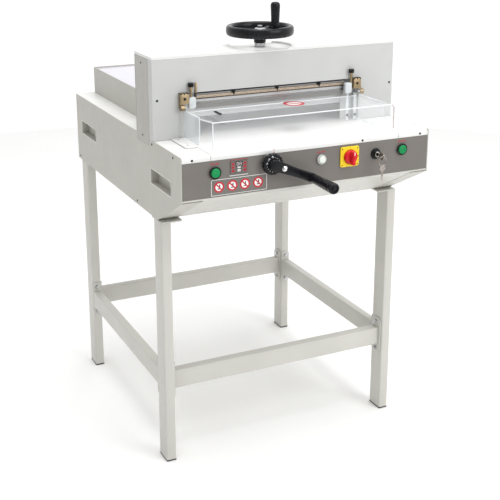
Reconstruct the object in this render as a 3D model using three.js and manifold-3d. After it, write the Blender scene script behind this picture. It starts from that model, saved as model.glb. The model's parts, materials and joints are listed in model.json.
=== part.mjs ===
// Electric guillotine for stacked paper on a four-legged stand.
// Millimetres. X runs along the knife, Y from the operator to the rear, Z up.
// Drawn round the middle of the four legs, on the floor; the last step centres the whole footprint.
import * as THREE from "three";
import { mergeVertices } from "three/addons/utils/BufferGeometryUtils.js";
import Module from "manifold-3d";

const wasm = await Module();
wasm.setup();

// ---- driving dimensions -------------------------------------------------
const GAP = 0.3; // clearance between neighbouring pieces
const HALF_W = 387; // half the width of the machine and of the stand
const SHEET = 3; // side panel sheet

const LEG_X = 30; // leg tube across the machine
const LEG_Y = 60; // leg tube along the machine
const LEG_WALL = 2;
const STAND_Y = 382; // half the depth of the stand
const PAD_H = 4; // rubber foot pad
const PLATE_T = 4; // leg top plate
const PLATE_X = 64;
const PLATE_Y = 78;
const BAR_Z0 = 227;
const BAR_Z1 = 285;
const BAR_T = 30;
const TAB_Z0 = 195; // bolted end plates of the bars
const TAB_Z1 = 317;
const TAB_T = 4;
const TAB_ACROSS = 48; // width of the end plates on the bars that run across
const TAB_ALONG = 29; // and on those that run along the machine

const BODY_Z0 = 751; // underside of the body
const BODY_Y0 = -538; // front of the body
const BODY_Y1 = 417; // rear of the body
const SLOPE_Z = 848; // lower edge of the front face
const SLOPE_Y = -354; // where the sloping underside ends
const BAND_Z = 957; // lower edge of the table's front band
const TABLE_Z = 973; // table surface
const WING = 60; // folded corner of a side panel under the front
const PAN_T = 2.5;
const LIFT_YS = [-388, 282]; // middles of the hand grips in each side panel
const LIFT_Z = 870;
const LIFT_LENGTH = 152;
const LIFT_HEIGHT = 42;
const LIFT_DEPTH = 22;
const LIFT_WALL = 2;
const PANEL_Z0 = 856; // lower edge of the control panel
const NOSE_R = 9; // rounded front edge of the table

const BRIDGE_Y0 = -337;
const BRIDGE_Y1 = -201;
const BRIDGE_Z1 = 1206;
const RETURN_Y = -308; // rear edge of the front cover's side returns
const MOUTH_X0 = -310; // opening in the front cover
const MOUTH_X1 = 269;
const MOUTH_Z1 = 1100;
const COVER_T = 2; // sheet of the front cover
const TOP_T = 8;
const DISH_R = 92; // round dish under the handwheel
const DISH_DEPTH = 4;
const NOTCH_Z = 955; // the side covers stand in a notch of the side panels
const NOTCH_Y1 = -205;
const CHEEK_X0 = [-330, 286]; // left faces of the cast cheeks
const CHEEK_T = 25;
const CHEEK_Z0 = 790;
const CHEEK_Z1 = 1188;
const BEAM_Z0 = 1128;
const FLANGE_Y0 = -323; // sheet that closes the mouth to the left of the knife
const FLANGE_Y1 = -310; // and to its right, behind the sliding knife

const BED_X0 = -301.5;
const BED_X1 = 282.5;
const BED_Y0 = -525.5;
const BED_Y1 = 398;
const BED_R = 30; // front corners of the bed
const BED_T = 12;
const STICK_X0 = -282; // groove of the cutting stick
const STICK_X1 = 247;
const STICK_WIDTH = 12;
const SLOT_Y0 = -232; // slot that the back gauge's web runs in
const SLOT_Y1 = 172;
const INLET_X = -298; // power inlet in the rear panel
const INLET_Z = 820;
const REAR_X = 321; // half the width of the rear hood
const REAR_Z = 1060;

const BLADE_X0 = -256;
const BLADE_X1 = 220;
const BLADE_Y = -328; // middle of the blade's thickness
const BLADE_Z0 = 1052;
const BLADE_T = 5;
const BEVEL = 14; // height of the ground bevel
const CARRIER_Z1 = 1150;
const CLAMP_Z0 = 1025;
const CLAMP_Y0 = -311;
const CLAMP_Y1 = -235;
const CLAMP_FOOT = 12; // thickness of the clamp's foot plate

const WHEEL_X = -24; // clamp spindle and handwheel axis
const WHEEL_Y = -262;
const WHEEL_R = 99;
const WHEEL_Z0 = 1236;
const WHEEL_Z1 = 1265;
const HUB_R = 20;
const HUB_Z0 = 1214;
const HUB_Z1 = 1254;
const SPOKE_Z = 1244;
const SPINDLE_R = 10;
const SPINDLE_Z0 = 1031;
const GRIP_Z0 = 1256.4;
const GRIP_TOP = 1336;
const GRIP_ORBIT = 66;
const GRIP_ANGLE = -75;

const CRANK_X = -128; // back gauge crank axis
const CRANK_Z = 932;
const CRANK_DROP = -23; // the arm's angle below level, degrees
const CRANK_ARM = 126;
const CRANK_END = -688; // front end of the crank grip
const DIAL_R = 30;
const DIAL_T = 22;
const DIAL_TEETH = 16;
const ARM_T = 14;
const SCREW_R = 7;
const SCREW_END = 396;

const GAUGE_Y = 0; // front face of the back gauge at rest
const PIVOT_Y = -350; // guard hinge axis
const PIVOT_Z = 1062;
const GUARD_Y = -505; // front face of the guard
const GUARD_X0 = -295; // middles of the guard's side plates
const GUARD_X1 = 261;
const GUARD_END = 289; // the front plate runs past the right side plate
const GUARD_CORNER_X = -280; // where the slanting corner meets the front plate
const GUARD_CORNER_Y = -448; // and the left side plate
const GUARD_Z0 = TABLE_Z + 4;
const GUARD_Z1 = 1050;
const GUARD_T = 5; // acrylic plate
const THUMB_Y = -345; // thumb screws on the hinge blocks
const BLOCK_Z1 = 1104; // top of the hinge blocks

const BUTTON_Z = 924;
const CUT_BUTTONS_X = [-291, 294];
const CUT_BUTTON_R = 13;
const LAMP_X = 30;
const LAMP_R = 10;
const SWITCH_X = 120;
const SWITCH_Z = 922;
const LOCK_X = 207;
const LOCK_Z = 920;

// ---- materials ----------------------------------------------------------
function paint(color, roughness, metalness = 0) {
  return new THREE.MeshStandardMaterial({ color, roughness, metalness });
}

const BEIGE = paint("#c9c7bd", 0.5);
const WHITE = paint("#f2f2ee", 0.45);
const PANEL_GREY = paint("#77736d", 0.6);
const STEEL = paint("#c3c5c6", 0.3, 0.9);
const CAST = paint("#6d7072", 0.6, 0.5);
const BRASS = paint("#b08d4a", 0.35, 0.9);
const BLACK = paint("#17181a", 0.45);
const RUBBER = paint("#1c1c1c", 0.9);
const GREEN = paint("#0aa35e", 0.35);
const RED = paint("#cf1f1c", 0.35);
const YELLOW = paint("#f2d21f", 0.4);
const LAMP = paint("#eef1ec", 0.3);
const CLEAR = paint("#dfe7ea", 0.08);
const SMOKE = paint("#e8e6f1", 0.25);

const group = new THREE.Group();

// ---- geometry helpers ---------------------------------------------------

/** Closed three.js geometry to a solid that can be joined and cut. */
function solid(geometry) {
  const bare = geometry.clone();
  bare.deleteAttribute("normal");
  bare.deleteAttribute("uv");
  const merged = mergeVertices(bare, 1e-4);
  return new wasm.Manifold(
    new wasm.Mesh({
      numProp: 3,
      vertProperties: new Float32Array(merged.attributes.position.array),
      triVerts: new Uint32Array(merged.index.array),
    }),
  );
}

/** Adds the solid to the group as one named mesh. */
function add(name, shape, material) {
  const data = shape.getMesh();
  const geometry = new THREE.BufferGeometry();
  geometry.setAttribute("position", new THREE.BufferAttribute(new Float32Array(data.vertProperties), 3));
  geometry.setIndex(new THREE.BufferAttribute(new Uint32Array(data.triVerts), 1));
  geometry.computeVertexNormals();
  const mesh = new THREE.Mesh(geometry, material);
  mesh.name = name;
  group.add(mesh);
}

/** Box between two corners. */
function box(x0, x1, y0, y1, z0, z1) {
  const geometry = new THREE.BoxGeometry(x1 - x0, y1 - y0, z1 - z0);
  geometry.translate((x0 + x1) / 2, (y0 + y1) / 2, (z0 + z1) / 2);
  return solid(geometry);
}

/** Sheet outline in the Y-Z plane, drawn as [y, z] pairs, swept from x0 to x1. */
function sweepX(points, x0, x1) {
  const shape = new THREE.Shape(points.map(([y, z]) => new THREE.Vector2(y, z)));
  const geometry = new THREE.ExtrudeGeometry(shape, { depth: x1 - x0, bevelEnabled: false });
  const turn = new THREE.Matrix4().makeBasis(
    new THREE.Vector3(0, 1, 0),
    new THREE.Vector3(0, 0, 1),
    new THREE.Vector3(1, 0, 0),
  );
  geometry.applyMatrix4(turn);
  geometry.translate(x0, 0, 0);
  return solid(geometry);
}

/** Outline in the X-Z plane swept from y0 to y1. */
function sweepY(shape, y0, y1) {
  const depth = y1 - y0;
  const geometry = new THREE.ExtrudeGeometry(shape, { depth, bevelEnabled: false, curveSegments: 8 });
  geometry.rotateX(Math.PI / 2);
  geometry.translate(0, y1, 0);
  return solid(geometry);
}

/** Round bar along Z. */
function rodZ(x, y, z0, z1, radius, segments = 24) {
  const geometry = new THREE.CylinderGeometry(radius, radius, z1 - z0, segments);
  geometry.rotateX(Math.PI / 2);
  geometry.translate(x, y, (z0 + z1) / 2);
  return solid(geometry);
}

/** Round bar along Y. */
function rodY(x, z, y0, y1, radius, segments = 24) {
  const geometry = new THREE.CylinderGeometry(radius, radius, y1 - y0, segments);
  geometry.translate(x, (y0 + y1) / 2, z);
  return solid(geometry);
}

/** Round bar along X. */
function rodX(y, z, x0, x1, radius, segments = 24) {
  const geometry = new THREE.CylinderGeometry(radius, radius, x1 - x0, segments);
  geometry.rotateZ(Math.PI / 2);
  geometry.translate((x0 + x1) / 2, y, z);
  return solid(geometry);
}

/** Turned piece: [radius, height] pairs round an upright axis at x, y. */
function turned(points, x, y, segments = 24) {
  const profile = points.map(([radius, height]) => new THREE.Vector2(radius, height));
  const geometry = new THREE.LatheGeometry(profile, segments);
  geometry.rotateX(Math.PI / 2);
  geometry.translate(x, y, 0);
  return solid(geometry);
}

// ---- stand --------------------------------------------------------------

/** One leg: rectangular tube, open at the foot, under a welded top plate. */
function leg(name, sideX, sideY) {
  const outerX = sideX * HALF_W;
  const outerY = sideY * STAND_Y;
  const x = [outerX, outerX - sideX * LEG_X].sort((a, b) => a - b);
  const y = [outerY, outerY - sideY * LEG_Y].sort((a, b) => a - b);
  const plateX = [outerX, outerX - sideX * PLATE_X].sort((a, b) => a - b);
  const plateY = [outerY, outerY - sideY * PLATE_Y].sort((a, b) => a - b);
  const top = BODY_Z0 - PLATE_T;
  const tube = box(x[0], x[1], y[0], y[1], PAD_H + GAP, top);
  const bore = box(x[0] + LEG_WALL, x[1] - LEG_WALL, y[0] + LEG_WALL, y[1] - LEG_WALL, 0, top);
  const plate = box(plateX[0], plateX[1], plateY[0], plateY[1], top, BODY_Z0);
  add(name, tube.subtract(bore).add(plate), BEIGE);
  const inset = 0.5;
  const pad = box(x[0] + inset, x[1] - inset, y[0] + inset, y[1] - inset, 0, PAD_H);
  add(name.replace("leg", "foot_pad"), pad, RUBBER);
}

/** Bolted end plate with rounded top corners, lying across X or across Y. */
function tab(along, center, at, width) {
  const shape = new THREE.Shape();
  const half = width / 2;
  shape.moveTo(center - half, TAB_Z0);
  shape.lineTo(center + half, TAB_Z0);
  shape.lineTo(center + half, TAB_Z1 - half * 0.8);
  shape.quadraticCurveTo(center + half, TAB_Z1, center, TAB_Z1);
  shape.quadraticCurveTo(center - half, TAB_Z1, center - half, TAB_Z1 - half * 0.8);
  shape.closePath();
  if (along === "y") {
    return sweepY(shape, at, at + TAB_T);
  }
  const outline = shape.getPoints(8).map((point) => [point.x, point.y]);
  return sweepX(outline, at, at + TAB_T);
}

/** Cross bar between the front pair or the rear pair of legs. */
function barAcross(name, side) {
  const inner = HALF_W - LEG_X - GAP;
  const y = side * (STAND_Y - LEG_Y / 2);
  let bar = box(-inner, inner, y - BAR_T / 2, y + BAR_T / 2, BAR_Z0, BAR_Z1);
  bar = bar.add(tab("x", y, -inner, TAB_ACROSS)).add(tab("x", y, inner - TAB_T, TAB_ACROSS));
  const half = BAR_T / 2 - LEG_WALL;
  const bore = box(-inner - 1, inner + 1, y - half, y + half, BAR_Z0 + LEG_WALL, BAR_Z1 - LEG_WALL);
  add(name, bar.subtract(bore), BEIGE);
}

/** Side bar between the front and rear legs of one side. */
function barAlong(name, side) {
  const inner = STAND_Y - LEG_Y - GAP;
  const x = side * (HALF_W - LEG_X / 2);
  const half = BAR_T / 2 - 1;
  let bar = box(x - half, x + half, -inner, inner, BAR_Z0, BAR_Z1);
  bar = bar.add(tab("y", x, -inner, TAB_ALONG)).add(tab("y", x, inner - TAB_T, TAB_ALONG));
  const room = half - LEG_WALL;
  const bore = box(x - room, x + room, -inner - 1, inner + 1, BAR_Z0 + LEG_WALL, BAR_Z1 - LEG_WALL);
  add(name, bar.subtract(bore), BEIGE);
}

leg("leg_front_left", -1, -1);
leg("leg_front_right", 1, -1);
leg("leg_back_left", -1, 1);
leg("leg_back_right", 1, 1);
barAcross("bar_front", -1);
barAcross("bar_back", 1);
barAlong("bar_left", -1);
barAlong("bar_right", 1);

// ---- body ---------------------------------------------------------------

/** Side panel: sheet with two pressed hand grips, folded under the front corner. */
function sidePanel(name, side) {
  const inside = HALF_W - SHEET;
  const outline = [
    [BODY_Y0, SLOPE_Z],
    [SLOPE_Y, BODY_Z0 + GAP],
    [BODY_Y1, BODY_Z0 + GAP],
    [BODY_Y1, TABLE_Z],
    [NOTCH_Y1, TABLE_Z],
    [NOTCH_Y1, NOTCH_Z],
    [RETURN_Y + 1, NOTCH_Z],
    [RETURN_Y + 1, TABLE_Z],
    [BODY_Y0, TABLE_Z],
  ];
  const span = (a, b) => (side < 0 ? [-b, -a] : [a, b]);
  const sheetX = span(inside, HALF_W);
  let panel = sweepX(outline, sheetX[0], sheetX[1]);
  const fold = [
    [BODY_Y0, SLOPE_Z],
    [SLOPE_Y, BODY_Z0 + GAP],
    [SLOPE_Y + 3, BODY_Z0 + 2.9],
    [BODY_Y0 + 3, SLOPE_Z + 1.6],
  ];
  const foldX = span(HALF_W - WING, inside + 1);
  panel = panel.add(sweepX(fold, foldX[0], foldX[1]));
  const long = LIFT_LENGTH / 2;
  const high = LIFT_HEIGHT / 2;
  const [cupLong, cupHigh] = [long + LIFT_WALL, high + LIFT_WALL];
  const cupX = span(HALF_W - LIFT_DEPTH - LIFT_WALL, HALF_W - 1);
  const hollowX = span(HALF_W - LIFT_DEPTH, HALF_W + 1);
  for (const y of LIFT_YS) {
    panel = panel.add(box(cupX[0], cupX[1], y - cupLong, y + cupLong, LIFT_Z - cupHigh, LIFT_Z + cupHigh));
    panel = panel.subtract(box(hollowX[0], hollowX[1], y - long, y + long, LIFT_Z - high, LIFT_Z + high));
  }
  add(name, panel, BEIGE);
}

/** Bottom pan: flat sheet whose front slopes up to the lower edge of the front face. */
function bottomPan() {
  const z = BODY_Z0 + GAP;
  const outline = [
    [BODY_Y1 - SHEET - GAP, z],
    [SLOPE_Y + 2, z],
    [BODY_Y0 + 2, SLOPE_Z],
    [BODY_Y0, SLOPE_Z],
    [BODY_Y0, PANEL_Z0 - GAP],
    [BODY_Y0 + 3, PANEL_Z0 - GAP],
    [BODY_Y0 + 3, SLOPE_Z + PAN_T],
    [SLOPE_Y + 2.6, z + PAN_T],
    [BODY_Y1 - SHEET - GAP, z + PAN_T],
  ];
  const inside = HALF_W - SHEET - GAP;
  let pan = sweepX(outline, -inside, inside);
  for (const side of [-1, 1]) {
    const x = [side * (HALF_W - WING - GAP), side * HALF_W].sort((a, b) => a - b);
    pan = pan.subtract(box(x[0], x[1], BODY_Y0 - 1, SLOPE_Y + 4, BODY_Z0 - 1, SLOPE_Z + 3));
  }
  add("bottom_pan", pan, BEIGE);
}

/** Control panel with raised button bezels and the hole for the crank shaft. */
function controlPanel() {
  const inside = HALF_W - SHEET - GAP;
  const bezel = 3.5;
  const seats = [...CUT_BUTTONS_X.map((x) => [x, CUT_BUTTON_R]), [LAMP_X, LAMP_R]];
  let panel = box(-inside, inside, BODY_Y0, BODY_Y0 + 2.5, PANEL_Z0, BAND_Z - GAP);
  for (const [x, radius] of seats) {
    panel = panel.add(rodY(x, BUTTON_Z, BODY_Y0 - 3, BODY_Y0 + 1, radius + bezel));
    panel = panel.subtract(rodY(x, BUTTON_Z, BODY_Y0 - 4, BODY_Y0 + 4, radius + 0.4));
  }
  panel = panel.subtract(rodY(CRANK_X, CRANK_Z, BODY_Y0 - 1, BODY_Y0 + 4, SCREW_R + 1));
  add("control_panel", panel, PANEL_GREY);
}

/** Outline of the bed, or of its pocket, with two rounded corners at the front. */
function bedOutline(x0, x1, y0, y1) {
  const shape = new THREE.Shape();
  shape.moveTo(x0, y1);
  shape.lineTo(x0, y0 + BED_R);
  shape.quadraticCurveTo(x0, y0, x0 + BED_R, y0);
  shape.lineTo(x1 - BED_R, y0);
  shape.quadraticCurveTo(x1, y0, x1, y0 + BED_R);
  shape.lineTo(x1, y1);
  shape.closePath();
  return shape;
}

/** Front table: thick edge band with a rounded nose, cut out for the bed. */
function frontTable() {
  const outline = [[BRIDGE_Y0 - GAP, BAND_Z], [BRIDGE_Y0 - GAP, TABLE_Z]];
  for (let step = 0; step <= 6; step += 1) {
    const angle = (step / 6) * (Math.PI / 2);
    outline.push([BODY_Y0 + NOSE_R * (1 - Math.sin(angle)), TABLE_Z - NOSE_R * (1 - Math.cos(angle))]);
  }
  outline.push([BODY_Y0, BAND_Z]);
  const inside = HALF_W - SHEET - GAP;
  const table = sweepX(outline, -inside, inside);
  const joint = 0.5;
  const shape = bedOutline(BED_X0 - joint, BED_X1 + joint, BED_Y0 - joint, BRIDGE_Y0 + 2);
  const pocket = new THREE.ExtrudeGeometry(shape, { depth: 40, bevelEnabled: false, curveSegments: 6 });
  pocket.translate(0, 0, BAND_Z - 5);
  add("front_table", table.subtract(solid(pocket)), WHITE);
}

/** Bed: the flat steel plate that the paper lies on, from the front edge to the rear. */
function bed() {
  const shape = bedOutline(BED_X0, BED_X1, BED_Y0, BED_Y1);
  const slab = new THREE.ExtrudeGeometry(shape, { depth: BED_T, bevelEnabled: false, curveSegments: 6 });
  slab.translate(0, 0, TABLE_Z - BED_T);
  const half = STICK_WIDTH / 2;
  const deep = TABLE_Z - 6;
  const stickGroove = box(STICK_X0, STICK_X1, BLADE_Y - half - GAP, BLADE_Y + half + GAP, deep, TABLE_Z + 1);
  const gaugeSlot = box(CRANK_X - 8, CRANK_X + 8, SLOT_Y0, SLOT_Y1, TABLE_Z - 20, TABLE_Z + 1);
  add("bed", solid(slab).subtract(stickGroove).subtract(gaugeSlot), STEEL);
  const stick = box(STICK_X0 + GAP, STICK_X1 - GAP, BLADE_Y - half, BLADE_Y + half, deep + GAP, TABLE_Z);
  add("cutting_stick", stick, LAMP);
}

/** Rear deck, rear panel and the walls and lid of the rear hood. */
function rear() {
  const inside = HALF_W - SHEET - GAP;
  const deck = box(-inside, inside, BRIDGE_Y1 + GAP, BODY_Y1 - SHEET - GAP, TABLE_Z - 3, TABLE_Z);
  const pocket = box(BED_X0 - 0.5, BED_X1 + 0.5, BRIDGE_Y1 - 5, BED_Y1 + 0.5, TABLE_Z - 20, TABLE_Z + 1);
  add("rear_deck", deck.subtract(pocket), WHITE);
  const back = box(-inside, inside, BODY_Y1 - SHEET, BODY_Y1, BODY_Z0 + GAP, TABLE_Z);
  const inletBox = (width, height, y0, y1) =>
    box(INLET_X - width / 2, INLET_X + width / 2, y0, y1, INLET_Z - height / 2, INLET_Z + height / 2);
  add("rear_panel", back.subtract(inletBox(48, 28, BODY_Y1 - 10, BODY_Y1 + 10)), BEIGE);
  const inlet = inletBox(47, 27, BODY_Y1 - 28, BODY_Y1 + 2.5);
  add("power_inlet", inlet.subtract(inletBox(26, 18, BODY_Y1 - 16, BODY_Y1 + 5)), BLACK);
  const shell = box(-REAR_X, REAR_X, BRIDGE_Y1 + GAP, BODY_Y1 - 1, TABLE_Z + GAP, REAR_Z);
  const room = box(-REAR_X + 2.5, REAR_X - 2.5, BRIDGE_Y1 - 10, BODY_Y1 - 3.5, TABLE_Z - 10, REAR_Z + 10);
  add("rear_walls", shell.subtract(room), BEIGE);
  const lid = box(-REAR_X + 3, REAR_X - 3, BRIDGE_Y1 + GAP, BODY_Y1 - 4, REAR_Z - 7, REAR_Z - 4);
  add("rear_lid", lid, SMOKE);
}

sidePanel("side_panel_left", -1);
sidePanel("side_panel_right", 1);
bottomPan();
controlPanel();
frontTable();
bed();
rear();

// ---- bridge -------------------------------------------------------------

/** Shallow round dish in the top of the bridge, which breaks out at the front edge. */
function dish() {
  return rodZ(WHEEL_X, WHEEL_Y, BRIDGE_Z1 - DISH_DEPTH, BRIDGE_Z1 + 5, DISH_R, 64);
}

/** Front cover: sheet with side returns, the wide mouth over the bed and a flange at each of its ends. */
function bridgeFront() {
  const low = TABLE_Z + GAP;
  const top = BRIDGE_Z1 - TOP_T - GAP;
  const [rearLeft, rearRight] = [FLANGE_Y0 + COVER_T, FLANGE_Y1 + COVER_T];
  const clear = 2; // beside the knife
  let cover = box(-HALF_W, HALF_W, BRIDGE_Y0, BRIDGE_Y0 + COVER_T, low, top);
  for (const side of [-1, 1]) {
    const x = [side * HALF_W, side * (HALF_W - COVER_T)].sort((a, b) => a - b);
    cover = cover.add(box(x[0], x[1], BRIDGE_Y0 + 1, RETURN_Y, low, top));
  }
  cover = cover.add(box(MOUTH_X0 - COVER_T, MOUTH_X0 + 0.5, BRIDGE_Y0 + 1, rearLeft, low, MOUTH_Z1));
  cover = cover.add(box(MOUTH_X1 - 0.5, MOUTH_X1 + COVER_T, BRIDGE_Y0 + 1, rearRight, low, MOUTH_Z1));
  cover = cover.subtract(box(MOUTH_X0, MOUTH_X1, BRIDGE_Y0 - 1, rearRight + 1, TABLE_Z - 1, MOUTH_Z1));
  cover = cover.add(box(MOUTH_X0 - 1, BLADE_X0 - clear, FLANGE_Y0, rearLeft, low, MOUTH_Z1 + 1));
  cover = cover.add(box(BLADE_X1 + clear, MOUTH_X1 + 1, FLANGE_Y1, rearRight, low, MOUTH_Z1 + 1));
  add("bridge_front", cover, BEIGE);
}

/** Top, side and rear covers of the bridge. */
function bridgeCovers() {
  const under = BRIDGE_Z1 - TOP_T;
  let top = box(-HALF_W, HALF_W, BRIDGE_Y0, BRIDGE_Y1, under, BRIDGE_Z1);
  top = top.subtract(dish()).subtract(rodZ(WHEEL_X, WHEEL_Y, 1100, 1300, SPINDLE_R + 3));
  add("bridge_top", top, WHITE);
  for (const [name, side] of [["bridge_side_left", -1], ["bridge_side_right", 1]]) {
    const x = [side * HALF_W, side * (HALF_W - SHEET)].sort((a, b) => a - b);
    const plate = box(x[0], x[1], RETURN_Y + 1.5, NOTCH_Y1 - 0.5, NOTCH_Z + 0.5, under - GAP);
    add(name, plate, BEIGE);
  }
  const back = box(-HALF_W, HALF_W, BRIDGE_Y1 - SHEET, BRIDGE_Y1, TABLE_Z + GAP, under - GAP);
  const gate = box(-REAR_X - 1, REAR_X + 1, BRIDGE_Y1 - 10, BRIDGE_Y1 + 10, TABLE_Z - 10, REAR_Z + 1);
  add("bridge_back", back.subtract(gate), BEIGE);
}

/** Cast side frames and the head beam that the spindle turns in. */
function frameCastings() {
  const [y0, y1] = [-318, -206];
  for (const [number, name] of ["cheek_left", "cheek_right"].entries()) {
    const x = CHEEK_X0[number];
    const window = box(x - 1, x + CHEEK_T + 1, y0 + 28, y1 - 28, CHEEK_Z0 + 40, CHEEK_Z0 + 140);
    add(name, box(x, x + CHEEK_T, y0, y1, CHEEK_Z0, CHEEK_Z1).subtract(window), CAST);
  }
  const [left, right] = [CHEEK_X0[0] + CHEEK_T + 0.5, CHEEK_X0[1] - 0.5];
  const beam = box(left, right, y0 + 20, y1 - 18, BEAM_Z0, CHEEK_Z1);
  add("head_beam", beam.subtract(rodZ(WHEEL_X, WHEEL_Y, 1100, 1200, SPINDLE_R + 0.4)), CAST);
}

bridgeFront();
bridgeCovers();
frameCastings();

// ---- clamp, handwheel and knife -----------------------------------------

/** Clamp beam: foot plate, web and threaded boss round the spindle. */
function clampBeam() {
  const inside = CLAMP_Z0 + CLAMP_FOOT - 2; // the pieces run 2 mm into the foot plate
  let beam = box(BLADE_X0, BLADE_X1, CLAMP_Y0, CLAMP_Y1, CLAMP_Z0, CLAMP_Z0 + CLAMP_FOOT);
  beam = beam.add(box(BLADE_X0, BLADE_X1, CLAMP_Y0, CLAMP_Y0 + 14, inside, CLAMP_Z0 + 50));
  beam = beam.add(rodZ(WHEEL_X, WHEEL_Y, CLAMP_Z0 + 5, CLAMP_Z0 + 72, HUB_R));
  beam = beam.add(box(-150, 100, CLAMP_Y0 + 10, WHEEL_Y + 10, inside, inside + 12));
  add("clamp_beam", beam.subtract(rodZ(WHEEL_X, WHEEL_Y, CLAMP_Z0 + 4, 1200, SPINDLE_R + 0.4)), STEEL);
}

/** Handwheel: thick rim, three spokes and hub. */
function handwheel() {
  const rim = turned(
    [
      [80, WHEEL_Z0 + 4],
      [84, WHEEL_Z0],
      [93, WHEEL_Z0],
      [98, WHEEL_Z0 + 4],
      [WHEEL_R, WHEEL_Z0 + 14],
      [97, WHEEL_Z1 - 4],
      [92, WHEEL_Z1],
      [85, WHEEL_Z1],
      [81, WHEEL_Z1 - 3],
      [80, WHEEL_Z0 + 4],
    ],
    WHEEL_X,
    WHEEL_Y,
    56,
  );
  let wheel = rim.add(rodZ(WHEEL_X, WHEEL_Y, HUB_Z0, HUB_Z1, HUB_R, 32));
  for (const offset of [0, 120, 240]) {
    const spoke = new THREE.BoxGeometry(70, 20, 10);
    spoke.translate(49, 0, SPOKE_Z);
    spoke.rotateZ(THREE.MathUtils.degToRad(GRIP_ANGLE + offset));
    spoke.translate(WHEEL_X, WHEEL_Y, 0);
    wheel = wheel.add(solid(spoke));
  }
  const angle = THREE.MathUtils.degToRad(GRIP_ANGLE);
  const x = WHEEL_X + GRIP_ORBIT * Math.cos(angle);
  const y = WHEEL_Y + GRIP_ORBIT * Math.sin(angle);
  wheel = wheel.add(rodZ(x, y, SPOKE_Z - 4, GRIP_Z0 - 0.4, 15));
  add("handwheel", wheel, BLACK);
  const grip = turned(
    [[0, GRIP_Z0], [10, GRIP_Z0], [11.5, 1262], [13.5, 1322], [13, 1332], [9, GRIP_TOP], [0, GRIP_TOP]],
    x,
    y,
  );
  add("handwheel_grip", grip, BLACK);
  add("clamp_spindle", rodZ(WHEEL_X, WHEEL_Y, SPINDLE_Z0, HUB_Z0 - 0.4, SPINDLE_R), STEEL);
}

/** Knife carrier and the bevelled blade on its front. */
function knife() {
  const [front, back] = [BLADE_Y - BLADE_T / 2, BLADE_Y + BLADE_T / 2];
  const carrier = box(BLADE_X0, BLADE_X1, back + GAP, CLAMP_Y0 - 1, BLADE_Z0 + 16, CARRIER_Z1);
  add("knife_carrier", carrier, STEEL);
  const outline = [
    [back, BLADE_Z0],
    [back, MOUTH_Z1 - 2],
    [front, MOUTH_Z1 - 2],
    [front, BLADE_Z0 + BEVEL],
    [back - 0.5, BLADE_Z0],
  ];
  add("knife", sweepX(outline, BLADE_X0, BLADE_X1), STEEL);
}

clampBeam();
handwheel();
knife();

// ---- back gauge and its crank -------------------------------------------

/** Back gauge: fence over the bed on a threaded block that rides on the lead screw. */
function backGauge() {
  let gauge = box(-286, 268, GAUGE_Y, GAUGE_Y + 8, TABLE_Z + 1, TABLE_Z + 55);
  gauge = gauge.add(box(-180, -76, GAUGE_Y + 7, GAUGE_Y + 60, TABLE_Z + 1, TABLE_Z + 9));
  gauge = gauge.add(box(CRANK_X - 6, CRANK_X + 6, GAUGE_Y + 10, GAUGE_Y + 50, 940, TABLE_Z + 5));
  gauge = gauge.add(box(CRANK_X - 18, CRANK_X + 18, GAUGE_Y + 10, GAUGE_Y + 50, 914, 950));
  add("back_gauge", gauge.subtract(rodY(CRANK_X, CRANK_Z, -100, 200, SCREW_R + 0.4)), STEEL);
  add("lead_screw", rodY(CRANK_X, CRANK_Z, BODY_Y0 - 0.2, SCREW_END, SCREW_R), STEEL);
}

/** Crank: ribbed dial, arm and the grip that stands out to the front. */
function crank() {
  const face = BODY_Y0 - 0.8;
  let dial = rodY(CRANK_X, CRANK_Z, face - DIAL_T, face, DIAL_R, 48);
  for (let tooth = 0; tooth < DIAL_TEETH; tooth += 1) {
    const angle = (tooth / DIAL_TEETH) * Math.PI * 2;
    const x = CRANK_X + (DIAL_R + 0.5) * Math.cos(angle);
    const z = CRANK_Z + (DIAL_R + 0.5) * Math.sin(angle);
    dial = dial.subtract(rodY(x, z, face - 30, face - 9, 2.6, 8));
  }
  add("crank_dial", dial, BLACK);
  const armY = face - DIAL_T - GAP;
  const shape = new THREE.Shape();
  shape.absarc(0, 0, 16, Math.PI / 2, Math.PI * 1.5, false);
  shape.lineTo(30, -13);
  shape.absarc(CRANK_ARM, 0, 11, -Math.PI / 2, Math.PI / 2, false);
  shape.lineTo(30, 13);
  shape.closePath();
  const arm = new THREE.ExtrudeGeometry(shape, { depth: ARM_T, bevelEnabled: false, curveSegments: 8 });
  arm.rotateX(Math.PI / 2);
  arm.rotateY(THREE.MathUtils.degToRad(-CRANK_DROP));
  arm.translate(CRANK_X, armY, CRANK_Z);
  add("crank_arm", solid(arm), BLACK);
  const drop = THREE.MathUtils.degToRad(CRANK_DROP);
  const start = armY - ARM_T - GAP;
  const length = start - CRANK_END;
  const rearHalf = [[0, 0], [10, 0], [11.5, 6], [15.5, length - 14]];
  const profile = [...rearHalf, [15.5, length - 5], [11, length], [0, length]];
  const x = CRANK_X + CRANK_ARM * Math.cos(drop);
  const z = CRANK_Z + CRANK_ARM * Math.sin(drop);
  const lathe = new THREE.LatheGeometry(
    profile.map(([radius, height]) => new THREE.Vector2(radius, height)),
    24,
  );
  lathe.rotateX(Math.PI);
  lathe.translate(x, start, z);
  add("crank_grip", solid(lathe), BLACK);
}

backGauge();
crank();

// ---- controls -----------------------------------------------------------

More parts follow.
